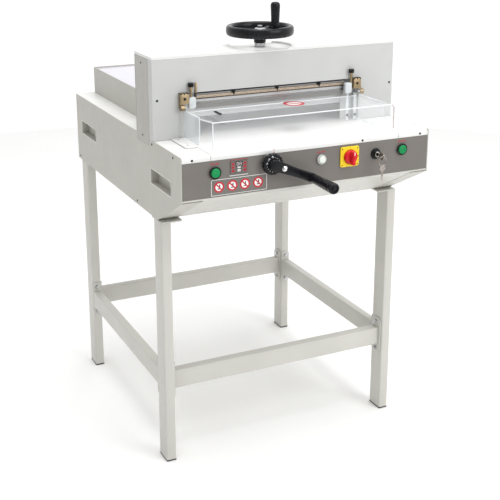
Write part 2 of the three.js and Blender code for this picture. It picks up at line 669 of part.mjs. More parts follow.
/** Push buttons, display and main switch on the control panel. */
function controls() {
  const cap = (x, radius) => rodY(x, BUTTON_Z, BODY_Y0 - 10, BODY_Y0 + 8, radius);
  add("button_left", cap(CUT_BUTTONS_X[0], CUT_BUTTON_R), GREEN);
  add("button_right", cap(CUT_BUTTONS_X[1], CUT_BUTTON_R), GREEN);
  add("button_centre", cap(LAMP_X, LAMP_R), LAMP);
  add("display_pad", box(-246, -196, BODY_Y0 - 1.8, BODY_Y0 - GAP, 914, 950), BLACK);
  const plate = box(SWITCH_X - 30, SWITCH_X + 30, BODY_Y0 - 5, BODY_Y0 - GAP, SWITCH_Z - 29, SWITCH_Z + 29);
  add("switch_plate", plate, YELLOW);
  const face = BODY_Y0 - 5 - GAP;
  const wing = box(SWITCH_X - 7, SWITCH_X + 7, face - 26, face - 8, SWITCH_Z - 22, SWITCH_Z + 22);
  add("switch_knob", rodY(SWITCH_X, SWITCH_Z, face - 12, face, 20, 32).add(wing), RED);
}

/** Lock barrel, the key that is in it, and the spare key on a wire ring through the key's hole. */
function keySwitch() {
  const keyFace = BODY_Y0 - 12 - GAP;
  add("key_barrel", rodY(LOCK_X, LOCK_Z, BODY_Y0 - 12, BODY_Y0 - GAP, 13), STEEL);
  const [left, right] = [LOCK_X - 1.2, LOCK_X + 1.2];
  let key = box(left, right, keyFace - 14, keyFace, LOCK_Z - 4, LOCK_Z + 4);
  key = key.add(rodX(keyFace - 22, LOCK_Z, left, right, 11, 20));
  const holeY = keyFace - 26;
  add("key", key.subtract(rodX(holeY, LOCK_Z, left - 6, right + 6, 3.5, 12)), STEEL);
  const ringR = 13;
  const ring = new THREE.TorusGeometry(ringR, 1.1, 8, 32);
  ring.rotateX(Math.PI / 2);
  ring.translate(LOCK_X, holeY, LOCK_Z - ringR);
  const ringLow = LOCK_Z - 2 * ringR;
  let hanging = solid(ring);
  hanging = hanging.add(box(LOCK_X - 9, LOCK_X + 9, holeY - 1, holeY + 1, ringLow - 16, ringLow + 0.6));
  hanging = hanging.add(box(LOCK_X - 3.5, LOCK_X + 3.5, holeY - 1, holeY + 1, ringLow - 44, ringLow - 14));
  add("key_ring", hanging, STEEL);
}

controls();
keySwitch();

// ---- clear guard and its hinge blocks -----------------------------------

/** Flat clear plate in the Y-Z plane with a round hinge ear at its rear top corner. */
function guardSide(x, yFront) {
  const [x0, x1] = [x - GUARD_T / 2, x + GUARD_T / 2];
  const earR = 10;
  const plate = box(x0, x1, yFront, PIVOT_Y + earR, GUARD_Z0, GUARD_Z1 + 4);
  const ear = rodX(PIVOT_Y, PIVOT_Z, x0, x1, earR, 24);
  const neck = box(x0, x1, PIVOT_Y - earR, PIVOT_Y + earR, GUARD_Z1, PIVOT_Z);
  return plate.add(ear).add(neck).subtract(rodX(PIVOT_Y, PIVOT_Z, x0 - 3, x1 + 3, 3.4, 16));
}

/** Flat clear sheet that closes the guard's top between its side plates. */
function guardTop() {
  const outline = new THREE.Shape();
  const thick = 3;
  outline.moveTo(GUARD_X0, PIVOT_Y + 5);
  outline.lineTo(GUARD_X0, GUARD_CORNER_Y);
  outline.lineTo(GUARD_CORNER_X - 1, GUARD_Y + 2);
  outline.lineTo(GUARD_X1, GUARD_Y + 2);
  outline.lineTo(GUARD_X1, PIVOT_Y + 5);
  outline.closePath();
  const sheet = new THREE.ExtrudeGeometry(outline, { depth: thick, bevelEnabled: false });
  sheet.translate(0, 0, GUARD_Z1 - thick);
  return solid(sheet);
}

/** Guard: left side plate, slanting corner, front panel, top sheet and right side plate. */
function guard() {
  const shape = new THREE.Shape();
  const round = 10;
  shape.moveTo(GUARD_CORNER_X, GUARD_Z0);
  shape.lineTo(GUARD_END, GUARD_Z0);
  shape.lineTo(GUARD_END, GUARD_Z1 - round);
  shape.quadraticCurveTo(GUARD_END, GUARD_Z1, GUARD_END - round, GUARD_Z1);
  shape.lineTo(GUARD_CORNER_X, GUARD_Z1);
  shape.closePath();
  const profile = new THREE.ExtrudeGeometry(shape, { depth: GUARD_T, bevelEnabled: false, curveSegments: 6 });
  profile.rotateX(Math.PI / 2);
  profile.translate(0, GUARD_Y + GUARD_T, 0);
  const height = GUARD_Z1 - GUARD_Z0;
  const [runX, runY] = [GUARD_CORNER_X - GUARD_X0, GUARD_Y - GUARD_CORNER_Y + 0.5];
  const corner = new THREE.BoxGeometry(62, GUARD_T, height);
  corner.rotateZ(Math.atan2(runY, runX));
  corner.translate(-287, GUARD_Y + 30.5, GUARD_Z0 + height / 2);
  let clear = guardSide(GUARD_X0, GUARD_CORNER_Y).add(solid(profile)).add(solid(corner));
  clear = clear.add(guardSide(GUARD_X1, GUARD_Y + 1)).add(guardTop());
  add("guard", clear, CLEAR);
}

/** Hinge block on the front cover, with the lug and pin of the guard's hinge. */
function hingeBlock(name, side) {
  const rear = BRIDGE_Y0 - GAP;
  const lug = side < 0 ? [-310, -298] : [264.5, 276];
  const pin = side < 0 ? [-300, -290] : [256, 266];
  const head = side < 0 ? [-310, -262] : [226, 276];
  let block = box(head[0], head[1], -352, rear, 1074, BLOCK_Z1);
  block = block.add(box(lug[0], lug[1], -358, rear, 1052, 1080));
  block = block.add(rodX(PIVOT_Y, PIVOT_Z, pin[0], pin[1], 3, 16));
  add(name, block, BRASS);
}

/** Thumb screw that stands on a hinge block. */
function thumbScrew(name, x) {
  const stem = rodZ(x, THUMB_Y, BLOCK_Z1 + 0.4, BLOCK_Z1 + 10, 3.5, 16);
  add(name, stem.add(rodZ(x, THUMB_Y, BLOCK_Z1 + 8, BLOCK_Z1 + 26, 8, 20)), BLACK);
}

guard();
hingeBlock("hinge_block_left", -1);
hingeBlock("hinge_block_right", 1);
thumbScrew("thumb_screw_left", -276);
thumbScrew("thumb_screw_right", 238);

// ---- drive --------------------------------------------------------------

/** Motor and gearbox on one base plate inside the body. */
function driveUnit() {
  const floor = BODY_Z0 + 3.3;
  let unit = box(-60, 240, -230, -60, floor, floor + 6);
  unit = unit.add(box(-50, 60, -215, -75, floor + 4, 900));
  unit = unit.add(rodX(-145, 830, 55, 225, 52, 32));
  unit = unit.add(box(100, 190, -180, -110, floor + 4, 800));
  add("drive_unit", unit, CAST);
}

driveUnit();

// ---- frame: the origin moves to the middle of the whole footprint, crank included ----
const whole = new THREE.Box3().setFromObject(group);
group.position.y = -(whole.min.y + whole.max.y) / 2;

export default group;
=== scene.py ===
import json
import math

import bpy
import numpy as np
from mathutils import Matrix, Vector


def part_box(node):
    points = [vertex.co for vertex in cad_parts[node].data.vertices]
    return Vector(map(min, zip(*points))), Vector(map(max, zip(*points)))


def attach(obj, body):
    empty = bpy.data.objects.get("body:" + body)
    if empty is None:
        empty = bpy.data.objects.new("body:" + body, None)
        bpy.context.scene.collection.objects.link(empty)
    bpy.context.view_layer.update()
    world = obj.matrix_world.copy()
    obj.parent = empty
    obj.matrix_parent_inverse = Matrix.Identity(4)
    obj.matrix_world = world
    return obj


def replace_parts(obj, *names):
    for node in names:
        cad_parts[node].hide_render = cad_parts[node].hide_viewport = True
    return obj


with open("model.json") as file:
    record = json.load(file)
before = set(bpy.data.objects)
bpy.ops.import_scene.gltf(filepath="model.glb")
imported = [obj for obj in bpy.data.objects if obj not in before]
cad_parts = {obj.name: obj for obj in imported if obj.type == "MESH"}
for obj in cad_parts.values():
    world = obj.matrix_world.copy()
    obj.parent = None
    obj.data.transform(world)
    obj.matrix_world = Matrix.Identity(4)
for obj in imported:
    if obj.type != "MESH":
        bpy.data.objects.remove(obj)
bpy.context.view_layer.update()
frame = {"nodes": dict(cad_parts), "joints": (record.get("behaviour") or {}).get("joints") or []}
nodes = frame["nodes"]

# ---- studio ---------------------------------------------------------------
# The machine stands on a pale round floor under two big soft boxes and a white sky that lights less from the
# front left. The camera stands at the front left, a little above the wheel, and looks slightly down.

CAMERA_DOWN, CAMERA_RIGHT = 16.09, 25.59  # degrees
SKY_WAY = (0.72, 0.69, 0.0)
SKY_LEAST, SKY_MOST = 0.6, 1.12
FLOOR_RADIUS = 4.2

camera_data = bpy.data.cameras.new("camera")
camera_data.lens = 72.5
camera_data.shift_y = -0.14
camera_data.clip_end = 60
camera = bpy.data.objects.new("camera", camera_data)
camera.location = (-1.3101, -2.747, 1.6404)
camera.rotation_euler = (math.radians(90 - CAMERA_DOWN), 0, math.radians(-CAMERA_RIGHT))
bpy.context.collection.objects.link(camera)
bpy.context.scene.camera = camera
bpy.context.scene.view_settings.view_transform = "Standard"


def added(tree, kind, values=None):
    """New shader node of a kind, with values on some of its input sockets."""
    node = tree.nodes.new("ShaderNode" + kind)
    for socket, value in (values or {}).items():
        node.inputs[socket].default_value = value
    return node


world = bpy.data.worlds.new("white sky")
world.use_nodes = True
sky_tree = world.node_tree
sky = sky_tree.nodes["Background"]
sky.inputs["Color"].default_value = (1.0, 1.0, 1.0, 1)
towards = added(sky_tree, "TexCoord")
along_way = added(sky_tree, "VectorMath", {1: SKY_WAY})
along_way.operation = "DOT_PRODUCT"
dimming = added(sky_tree, "MapRange", {"From Min": -1.0, "To Min": SKY_LEAST, "To Max": SKY_MOST})
rays = added(sky_tree, "LightPath")
brighter = added(sky_tree, "Math")
brighter.operation = "MAXIMUM"
for source, target in (
    (towards.outputs["Generated"], along_way.inputs[0]),
    (along_way.outputs["Value"], dimming.inputs["Value"]),
    (dimming.outputs["Result"], brighter.inputs[0]),
    (rays.outputs["Is Camera Ray"], brighter.inputs[1]),
    (brighter.outputs["Value"], sky.inputs["Strength"]),
):
    sky_tree.links.new(source, target)
bpy.context.scene.world = world


def soft_box(name, place, aim, size, watts):
    """Square area lamp of a side of size, turned so that its beam runs from place to aim."""
    data = bpy.data.lights.new(name, "AREA")
    data.shape = "SQUARE"
    data.size = size
    data.energy = watts
    lamp = bpy.data.objects.new(name, data)
    lamp.location = place
    beam = Vector(aim) - lamp.location
    lamp.rotation_euler = beam.to_track_quat("-Z", "Y").to_euler()
    bpy.context.collection.objects.link(lamp)


soft_box("key lamp", (1.6, -3.0, 2.6), (0, 0, 0.8), 2.2, 48)
soft_box("top lamp", (0.0, -0.4, 4.2), (0, 0, 0.9), 2.6, 84)


def noise(tree, scale, detail=2.0, stretch=(1, 1, 1)):
    """Factor of a fractal noise on object coordinates, scale cycles a metre, stretched per axis."""
    place = added(tree, "TexCoord")
    mapping = added(tree, "Mapping", {"Scale": stretch})
    cloud = added(tree, "TexNoise", {"Scale": scale, "Detail": detail})
    tree.links.new(place.outputs["Object"], mapping.inputs["Vector"])
    tree.links.new(mapping.outputs["Vector"], cloud.inputs["Vector"])
    return cloud.outputs["Fac"]


def ramp(tree, factor, low, high):
    """Colour that runs from low to high as the factor runs from 0.35 to 0.65."""
    blend = added(tree, "ValToRGB")
    for stop, place, color in zip(blend.color_ramp.elements, (0.35, 0.65), (low, high)):
        stop.position = place
        stop.color = (*color, 1)
    tree.links.new(factor, blend.inputs["Fac"])
    return blend.outputs["Color"]


def span(tree, factor, low, high):
    """Number that runs from low to high as the factor runs from 0.3 to 0.7."""
    change = added(tree, "MapRange", {"From Min": 0.3, "From Max": 0.7, "To Min": low, "To Max": high})
    tree.links.new(factor, change.inputs["Value"])
    return change.outputs["Result"]


def relief(tree, factor, depth, edge=0.0):
    """Surface normal with bumps of the given depth, over edges softened to the radius edge."""
    bump = added(tree, "Bump", {"Distance": depth})
    tree.links.new(factor, bump.inputs["Height"])
    if edge:
        soften = added(tree, "Bevel", {"Radius": edge})
        soften.samples = 4
        tree.links.new(soften.outputs["Normal"], bump.inputs["Normal"])
    return bump.outputs["Normal"]


def surface(name, tint, bump, gloss, even=None):
    """Material out of noises, each noise given by its scale, detail and stretch.

    tint is a noise and the colours at its two ends, and bump a noise, a depth and perhaps an edge radius.
    gloss is a noise and the roughness at its two ends, or one roughness. even sets other sockets.
    """
    finish = bpy.data.materials.new(name)
    finish.use_nodes = True
    tree = finish.node_tree
    shader = tree.nodes["Principled BSDF"]
    cloud, *colors = tint
    tree.links.new(ramp(tree, noise(tree, *cloud), *colors), shader.inputs["Base Color"])
    cloud, *sizes = bump
    tree.links.new(relief(tree, noise(tree, *cloud), *sizes), shader.inputs["Normal"])
    if isinstance(gloss, float):
        shader.inputs["Roughness"].default_value = gloss
    else:
        cloud, *ends = gloss
        tree.links.new(span(tree, noise(tree, *cloud), *ends), shader.inputs["Roughness"])
    for socket, value in (even or {}).items():
        shader.inputs[socket].default_value = value
    return finish


def tinted(color, *amounts):
    """The colour once for each amount, lighter or darker by it."""
    return [tuple(min(1.0, channel * amount) for channel in color) for amount in amounts]


def placed(name, points, faces, finish):
    """New object out of points and faces, in its finish."""
    mesh = bpy.data.meshes.new(name)
    mesh.from_pydata(points.tolist(), [], faces)
    mesh.materials.append(finish)
    piece = bpy.data.objects.new(name, mesh)
    bpy.context.collection.objects.link(piece)
    return piece


angle = np.linspace(0, 2 * np.pi, 96, endpoint=False)
rim = np.stack([FLOOR_RADIUS * np.cos(angle), FLOOR_RADIUS * np.sin(angle), 0 * angle - 0.0002], 1)
floor_tint = ((1.5,), (0.955, 0.955, 0.95), (0.97, 0.97, 0.965))
floor_paint = surface("floor paint", floor_tint, ((60,), 0.0004), 0.8)
placed("floor", rim, [list(range(len(rim)))], floor_paint)

# ---- stand ----------------------------------------------------------------
# Four upright tubes of bent and welded steel, tied by four bars with bolted end plates.
# All of it is powder coated in a warm light grey, and each leg stands on a rubber pad.


def powder_coat(name, color, roughness=0.42):
    """Baked powder paint: fine orange-peel bumps, faint clouds in colour and gloss, softened edges."""
    gloss = ((45, 4), roughness - 0.05, roughness + 0.06)
    bump = ((850, 1), 0.00006, 0.0012)
    return surface(name, ((7, 3), *tinted(color, 0.97, 1.02)), bump, gloss, {"Specular IOR Level": 0.4})


def rubber(name):
    """Moulded black rubber, dull and finely pitted."""
    tint = ((160, 4), (0.012, 0.012, 0.013), (0.03, 0.03, 0.031))
    return surface(name, tint, ((1400, 2), 0.0002), 0.85)


def plated_steel(name, color=(0.56, 0.56, 0.57), roughness=0.28):
    """Bright plated steel with faint smears in its gloss."""
    smear = (220, 3)
    gloss = ((90, 3), roughness - 0.06, roughness + 0.1)
    bump = (smear, 0.00003, 0.0004)
    return surface(name, (smear, *tinted(color, 0.85, 1.1)), bump, gloss, {"Metallic": 1.0})


def dress(finish, *names):
    """Gives CAD nodes their finish."""
    for name in names:
        for place in nodes[name].material_slots:
            place.material = finish


SHARP = math.radians(38)


def skin(name, rings, finish, body="frame", joined=False, slot=None):
    """Closed surface over a grid: row i is ring i, step j runs round it, and quads join neighbours.

    The first and last rings are closed by flat caps, or are joined to each other.
    """
    rings = np.asarray(rings, float)
    rows, steps = rings.shape[:2]
    row, step = np.meshgrid(np.arange(rows if joined else rows - 1), np.arange(steps), indexing="ij")
    ahead = (row + 1) % rows
    turn = (step + 1) % steps
    corners = [row * steps + step, row * steps + turn, ahead * steps + turn, ahead * steps + step]
    faces = np.stack(corners, -1).reshape(-1, 4).tolist()
    if not joined:
        faces.append(list(range(steps))[::-1])
        faces.append(list(range((rows - 1) * steps, rows * steps)))
    piece = placed(name, rings.reshape(-1, 3), faces, finish)
    piece.data.shade_smooth()
    piece.data.set_sharp_from_angle(angle=SHARP)
    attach(piece, body)
    return piece


TURNS = {
    "up": [(1, 0, 0), (0, 1, 0), (0, 0, 1)],
    "down": [(1, 0, 0), (0, -1, 0), (0, 0, -1)],
    "front": [(1, 0, 0), (0, 0, 1), (0, -1, 0)],
    "back": [(-1, 0, 0), (0, 0, 1), (0, 1, 0)],
    "left": [(0, -1, 0), (0, 0, 1), (-1, 0, 0)],
    "right": [(0, 1, 0), (0, 0, 1), (1, 0, 0)],
}


def faced(rings, place, way):
    """Rings drawn flat with their height as third value, turned so that height points the given way."""
    return np.asarray(rings, float) @ np.array(TURNS[way], float) + np.array(place, float)


def stacked(outlines):
    """Rings out of flat outlines, each at its own height."""
    return [np.column_stack([outline, np.full(len(outline), level)]) for outline, level in outlines]


def oblong(width, height, corner, steps=6):
    """Rounded rectangle: four quarter circles of the corner radius, at the corners of the inner rectangle."""
    angle = np.linspace(0, np.pi / 2, steps)[None, :] + np.arange(4)[:, None] * np.pi / 2
    side_x = np.array([1, -1, -1, 1])[:, None] * (width / 2 - corner)
    side_y = np.array([1, 1, -1, -1])[:, None] * (height / 2 - corner)
    return np.stack([side_x + corner * np.cos(angle), side_y + corner * np.sin(angle)], -1).reshape(-1, 2)


def slab(width, height, depth, corner, edge=0.0005, arcs=3):
    """Plate with rounded corners and edges: the outline shrinks along a quarter circle at both ends."""
    outlines = []
    for angle in np.linspace(0, np.pi / 2, arcs):
        inset = edge * (1 - math.sin(angle))
        outline = oblong(width - 2 * inset, height - 2 * inset, max(corner - inset, 1e-5))
        outlines.append((outline, edge * (1 - math.cos(angle))))
    outlines += [(outline, depth - level) for outline, level in reversed(outlines)]
    return stacked(outlines)


def plate(name, size, place, way, finish, body="frame", **more):
    """Slab whose size gives width, height, depth and corner radius, and maybe edge radius and arcs."""
    return skin(name, faced(slab(*size), place, way), finish, body, **more)


def turned(name, profile, place, way, finish, body="frame", steps=48, **more):
    """Turned piece: each radius and height of the profile gives one circle round the given way."""
    angle = np.linspace(0, 2 * np.pi, steps, endpoint=False)
    circle = np.stack([np.cos(angle), np.sin(angle)], -1)
    rings = stacked([(radius * circle, height) for radius, height in profile])
    return skin(name, faced(rings, place, way), finish, body, **more)


def hexagon_head(across, height):
    """Bolt head: six flats whose top corners are cut back to a circle, as rings of 24 steps."""
    angle = np.linspace(0, 2 * np.pi, 24, endpoint=False)
    reach = across / 2 / np.cos((angle + np.pi / 6) % (np.pi / 3) - np.pi / 6)
    rings = []
    for cap, level in ((1, 0), (1, height * 0.8), (0.52, height), (0.3, height)):
        radius = np.minimum(reach, across * cap)
        rings.append(np.stack([radius * np.cos(angle), radius * np.sin(angle), np.full(24, level)], -1))
    return rings


def bolt(name, place, way, across=0.011):
    """Plated hexagon bolt head on a round washer."""
    thick = 0.0012
    washer = [(across * reach, level) for reach, level in ((0.4, 0), (0.85, 0), (0.85, thick), (0.4, thick))]
    turned(name + "_washer", washer, place, way, bolt_steel, steps=24)
    head_place = np.array(place) + np.array(TURNS[way][2]) * thick
    skin(name, faced(hexagon_head(across, 0.0055), head_place, way), bolt_steel)


beige = powder_coat("beige powder coat", (0.56, 0.55, 0.512))
bolt_steel = plated_steel("plated steel")
LEG_X, LEG_Y = 0.03, 0.06
LEG_BOLT_IN = 0.047
PLATE = 0.004
CORNER = 0.004
BAR_TOP, BAR_LOW = 0.285, 0.227
BAR_WIDTHS = (0.03, 0.028)
FIT = 0.0001

for side_y, end in ((-1, "front"), (1, "back")):
    for side_x, hand in ((-1, "left"), (1, "right")):
        name = f"leg_{end}_{hand}"
        low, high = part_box(name)
        outer = (low.x if side_x < 0 else high.x, low.y if side_y < 0 else high.y)
        foot = (outer[0] - side_x * LEG_X / 2, outer[1] - side_y * LEG_Y / 2, low.z)
        tube = (LEG_X, LEG_Y, high.z - PLATE - low.z, CORNER)
        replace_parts(plate(name + "_tube", tube, foot, "up", beige), name)
        under = high.z - PLATE
        middle = ((low.x + high.x) / 2, (low.y + high.y) / 2, under)
        plate(name + "_top_plate", (high.x - low.x, high.y - low.y, PLATE, CORNER), middle, "up", beige)
        for step in (0.022, 0.056):
            spot = (outer[0] - side_x * LEG_BOLT_IN, outer[1] - side_y * step, under)
            bolt(f"{name}_bolt_{step * 1000:.0f}", spot, "down")

for name in ("bar_front", "bar_back", "bar_left", "bar_right"):
    low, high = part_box(name)
    middle = (low + high) / 2
    axis = 0 if name in ("bar_front", "bar_back") else 1
    start = [middle.x, middle.y, (BAR_TOP + BAR_LOW) / 2]
    start[axis] = low[axis] + FIT
    tube = (BAR_WIDTHS[axis], BAR_TOP - BAR_LOW, high[axis] - low[axis] - 2 * FIT, CORNER)
    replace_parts(plate(name + "_tube", tube, start, ("right", "back")[axis], beige), name)
    tab_width = high[1 - axis] - low[1 - axis]
    tab = (tab_width, high.z - low.z, PLATE, tab_width * 0.36)
    for end, out in enumerate((("right", "left"), ("back", "front"))[axis]):
        place = [*middle]
        place[axis] = high[axis] if end else low[axis]
        plate(f"{name}_tab_{end}", tab, place, out, beige)
        inward = np.array(TURNS[out][2]) * PLATE
        for level in (low.z + 0.014, high.z - 0.015):
            spot = np.array((place[0], place[1], level)) + inward
            bolt(f"{name}_bolt_{end}_{level * 1000:.0f}", spot, out, 0.01)

pads = [f"foot_pad_{end}_{hand}" for end in ("front", "back") for hand in ("left", "right")]
dress(rubber("foot rubber"), *pads)

# ---- body -----------------------------------------------------------------
# Folded sheet steel: two side panels with pressed hand grips, a pan with a sloped front and a rear panel.
# Small dark cross-head screws hold the sheets together, and a pale rim lines each hand grip.


def black_plastic(name, roughness=0.36, grain=900, depth=0.00008):
    """Moulded black plastic with a fine grain and slightly uneven gloss."""
    tint = ((30, 4), (0.0045, 0.0048, 0.006), (0.0095, 0.01, 0.012))
    gloss = ((120, 3), roughness - 0.07, roughness + 0.1)
    even = {"Specular IOR Level": 0.24}
    return surface(name, tint, ((grain, 2), depth), gloss, even)


def screw(name, place, way, radius=0.0034, finish=None):
    """Low domed head over a quarter of an ellipse, with a cross of two slots on top, drawn as thin dark
    plates: painted shade in the slots.
    """
    dome = [(radius * math.cos(turn), 0.45 * radius * math.sin(turn)) for turn in np.linspace(0, 1.3, 6)]
    head = [(radius * 0.9, -0.0002), *dome]
    turned(name, head, place, way, finish or black_screw, steps=24, slot="black_plastic")
    top = np.array(place) + np.array(TURNS[way][2]) * radius * 0.435
    for mark, size in (("a", (radius * 1.15, radius * 0.22)), ("b", (radius * 0.22, radius * 1.15))):
        plate(f"{name}_slot_{mark}", (*size, 0.00015, radius * 0.08, 0.00003, 2), top, way, slot_shadow)


def screws(name, spots, way, *look):
    """Row of screws, numbered in the order of their places."""
    for number, spot in enumerate(spots):
        screw(f"{name}_{number}", spot, way, *look)


def middle_of(node):
    """Middle of a node's box."""
    low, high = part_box(node)
    return (low + high) / 2


black_screw = black_plastic("blackened screw steel", 0.3)
slot_shadow = black_plastic("slot shadow", 0.9)
# Darker copy of the beige coat for the side panels, the rear panel and the rear hood walls: painted shade on
# faces turned from the light.
shaded_beige = powder_coat("side panel coat with painted shade", (0.475, 0.463, 0.42))
dress(shaded_beige, "side_panel_left", "side_panel_right", "rear_panel")
dress(beige, "bottom_pan")
body_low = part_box("side_panel_left")[0]
OUT = {"left": body_low.x, "right": -body_low.x}
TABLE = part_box("bed")[1].z
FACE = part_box("control_panel")[0].y + 0.003

rim_paint = powder_coat("grip rim coat", (0.7, 0.69, 0.655))
RIM = 0.003
GRIP_LONG, GRIP_HIGH = 0.0775, 0.0225  # half the rim's middle line
GRIP_PLACES = {"front": (-0.25375, 0.87), "back": (0.41625, 0.87)}
edges = [(0, side * GRIP_HIGH, 2 * GRIP_LONG + RIM, RIM) for side in (1, -1)]
edges += [(side * GRIP_LONG, 0, RIM, 2 * GRIP_HIGH - RIM) for side in (-1, 1)]
for hand, outer in OUT.items():
    for end, (grip_y, grip_z) in GRIP_PLACES.items():
        for number, (y, z, long, high) in enumerate(edges):
            spot = (outer, grip_y + y, grip_z + z)
            size = (long, high, 0.0006, 0.0004, 0.0002, 2)
            plate(f"grip_rim_{hand}_{end}_{number}", size, spot, hand, rim_paint)
    spots = [(outer, body_low.y + along, TABLE - drop) for along, drop in ((0.054, 0.011), (0.213, 0.01))]
    screws(f"side_screw_{hand}", spots, hand)
    screws(f"pan_screw_{hand}", [(outer, body_low.y + along, 0.762) for along in (0.35, 0.93)], hand)

rear_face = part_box("rear_panel")[1].y
REAR_SCREWS = ((-0.37, 0.96), (0.37, 0.96), (-0.37, 0.765), (0.37, 0.765), (0, 0.96), (0, 0.765))
screws("rear_screw", [(x, rear_face, z) for x, z in REAR_SCREWS], "back")

# ---- power inlet ----------------------------------------------------------
# Moulded three-pin appliance inlet in the rear panel, with a flange and two screws.

inlet_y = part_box("power_inlet")[1].y
dress(black_plastic("inlet plastic", 0.45), "power_inlet")
inlet = middle_of("power_inlet")
for number, (x, z) in enumerate(((-0.007, -0.002), (0, 0.003), (0.007, -0.002))):
    spot = (inlet.x + x, inlet_y - 0.017, inlet.z + z)
    plate(f"inlet_pin_{number}", (0.002, 0.004, 0.014, 0.0004, 0.0003), spot, "back", bolt_steel)
screws("inlet_screw", [(inlet.x + side * 0.0182, inlet_y, inlet.z) for side in (-1, 1)], "back", 0.0024)

# ---- table ----------------------------------------------------------------
# Light coated table with a rounded front band, round a ground steel bed that carries the paper.
# Grey joint strips lie along the bed, and red index marks above the crank show the line of the cut.


def printed(name, color, gloss=0.4):
    """Screen-printed ink: thin, even, faintly mottled."""
    return surface(name, ((400, 3), *tinted(color, 0.92, 1.06)), ((1500, 1), 0.00002), gloss)


def sticker(name, size, place, way, finish, corner=0.0004, body="frame", slot=None):
    """Thin printed patch with rounded corners, raised by its film's thickness."""
    thick = 0.00015
    return plate(name, (*size, thick, corner, thick / 3, 2), place, way, finish, body, slot=slot)


white_coat = powder_coat("white powder coat", (0.74, 0.74, 0.725), 0.38)
dress(white_coat, "front_table", "rear_deck")
ground = (50, 3, (40, 1, 1))
bed_tint = (ground, (0.72, 0.717, 0.7), (0.76, 0.757, 0.74))
even = {"Specular IOR Level": 0.3}
dress(surface("coated bed plate", bed_tint, (ground, 0.00001), (ground, 0.42, 0.5), even), "bed")
scored = (60, 5, (0.2, 8, 1))
stick_tint = (scored, (0.66, 0.65, 0.62), (0.8, 0.79, 0.76))
dress(surface("cutting stick plastic", stick_tint, (scored, 0.0003), 0.5), "cutting_stick")
red_ink = printed("red ink", (0.5, 0.01, 0.026))
white_ink = printed("white ink", (0.82, 0.82, 0.8))
black_ink = printed("black ink", (0.015, 0.015, 0.016))
joint_grey = printed("joint sealant", (0.3, 0.295, 0.28), 0.7)

NOSE_RADIUS = 0.009
bed_low, bed_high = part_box("bed")
turns = np.linspace(0, np.pi / 2, 7)
nose_y = body_low.y + NOSE_RADIUS * (1 - np.sin(turns))
nose_z = TABLE - NOSE_RADIUS * (1 - np.cos(turns))
route = [(body_low.y + 0.083, TABLE), *zip(nose_y, nose_z), (body_low.y, TABLE - 0.0155)]
for hand, x in (("left", bed_low.x - 0.0003), ("right", bed_high.x + 0.0003)):
    rings = []
    for (y, z), tilt in zip(route, [0, *turns, np.pi / 2]):
        out = np.array((0, -math.sin(tilt), math.cos(tilt))) * 0.00025
        middle = np.array((x, y, z))
        half = np.array((0.0007, 0, 0))
        rings.append([middle - half - out, middle + half - out, middle + half + out, middle - half + out])
    skin(f"bed_joint_{hand}", rings, joint_grey)
screws("band_screw", [(x, body_low.y, TABLE - 0.01) for x in (-0.355, 0.163, 0.357)], "front")
crank_axis = middle_of("lead_screw")
for number, lift in enumerate((0.007, 0.0)):
    spot = (crank_axis.x + 0.012, body_low.y - 0.0001, TABLE - 0.013 + lift)
    sticker(f"band_mark_{number}", (0.003, 0.003), spot, "front", red_ink, 0.0013)
for number in range(3):
    spot = (crank_axis.x + 0.002 - 0.012 * number, body_low.y + 0.012 + 0.008 * number, TABLE)
    sticker(f"table_mark_{number}", (0.0025, 0.004), spot, "up", red_ink, 0.001)

# ---- bridge ---------------------------------------------------------------
# Tall hollow bridge of folded and powder-coated sheet over the cast frame: a front cover with the wide mouth,
# side and rear covers, and a thick top with a shallow round dish under the handwheel. The top is drawn in a
# lighter white coat and the side and rear covers in a darker coat than the front: painted light and painted
# shade.

dress(powder_coat("bridge powder coat", (0.525, 0.53, 0.522), 0.4), "bridge_front")
# The top takes the white table coat, lighter than the front cover's paint: painted light on the top face.
dress(white_coat, "bridge_top")
# Darker copy of the bridge paint for the side and rear covers: painted shade.
bridge_shade_coat = powder_coat("bridge side coat with painted shade", (0.42, 0.412, 0.375))
dress(bridge_shade_coat, "bridge_side_left", "bridge_side_right", "bridge_back")
front_low, front_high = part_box("bridge_front")
screw("bridge_screw_left", (-0.373, front_low.y, 1.086), "front")
screw("bridge_screw_right", (0.377, front_low.y, 1.078), "front")
for hand, outer in OUT.items():
    spots = [(outer, front_high.y + 0.055, level) for level in (0.975, 1.18)]
    screws(f"bridge_side_screw_{hand}", spots, hand, 0.003)
back_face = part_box("bridge_back")[1].y
spots = [(x, back_face, 1.18) for x in (-0.36, -0.12, 0.12, 0.36)]
screws("bridge_back_screw", spots, "back", 0.003)

# ---- cast frame and drive -------------------------------------------------
# Two grey iron cheeks and a head beam carry the knife and the clamp; motor and gearbox stand inside the body.
# All of them are sand castings with coarse lumps under a dull machine enamel.

lumps = (240, 5)
enamel = ((18, 4), *tinted((0.085, 0.088, 0.092), 0.8, 1.2))
casting = surface("grey casting enamel", enamel, (lumps, 0.0006, 0.002), (lumps, 0.5, 0.7))
dress(casting, "cheek_left", "cheek_right", "head_beam", "drive_unit")

# ---- knife and clamp ------------------------------------------------------
# A hardened steel blade with a polished bevel is bolted to a carrier bar that slides on a slant.
# Behind it the clamp beam comes down on the stack, pressed by a screw spindle.


def brushed_steel(name, color, roughness, lines=(0.4, 40, 40)):
    """Ground steel: fine lines along X in colour, gloss and relief."""
    grain = (90, 2, lines)
    gloss = (grain, roughness - 0.03, roughness + 0.05)
    bump = (grain, 0.00001, 0.0004)
    return surface(name, (grain, *tinted(color, 0.93, 1.06)), bump, gloss, {"Metallic": 1.0})


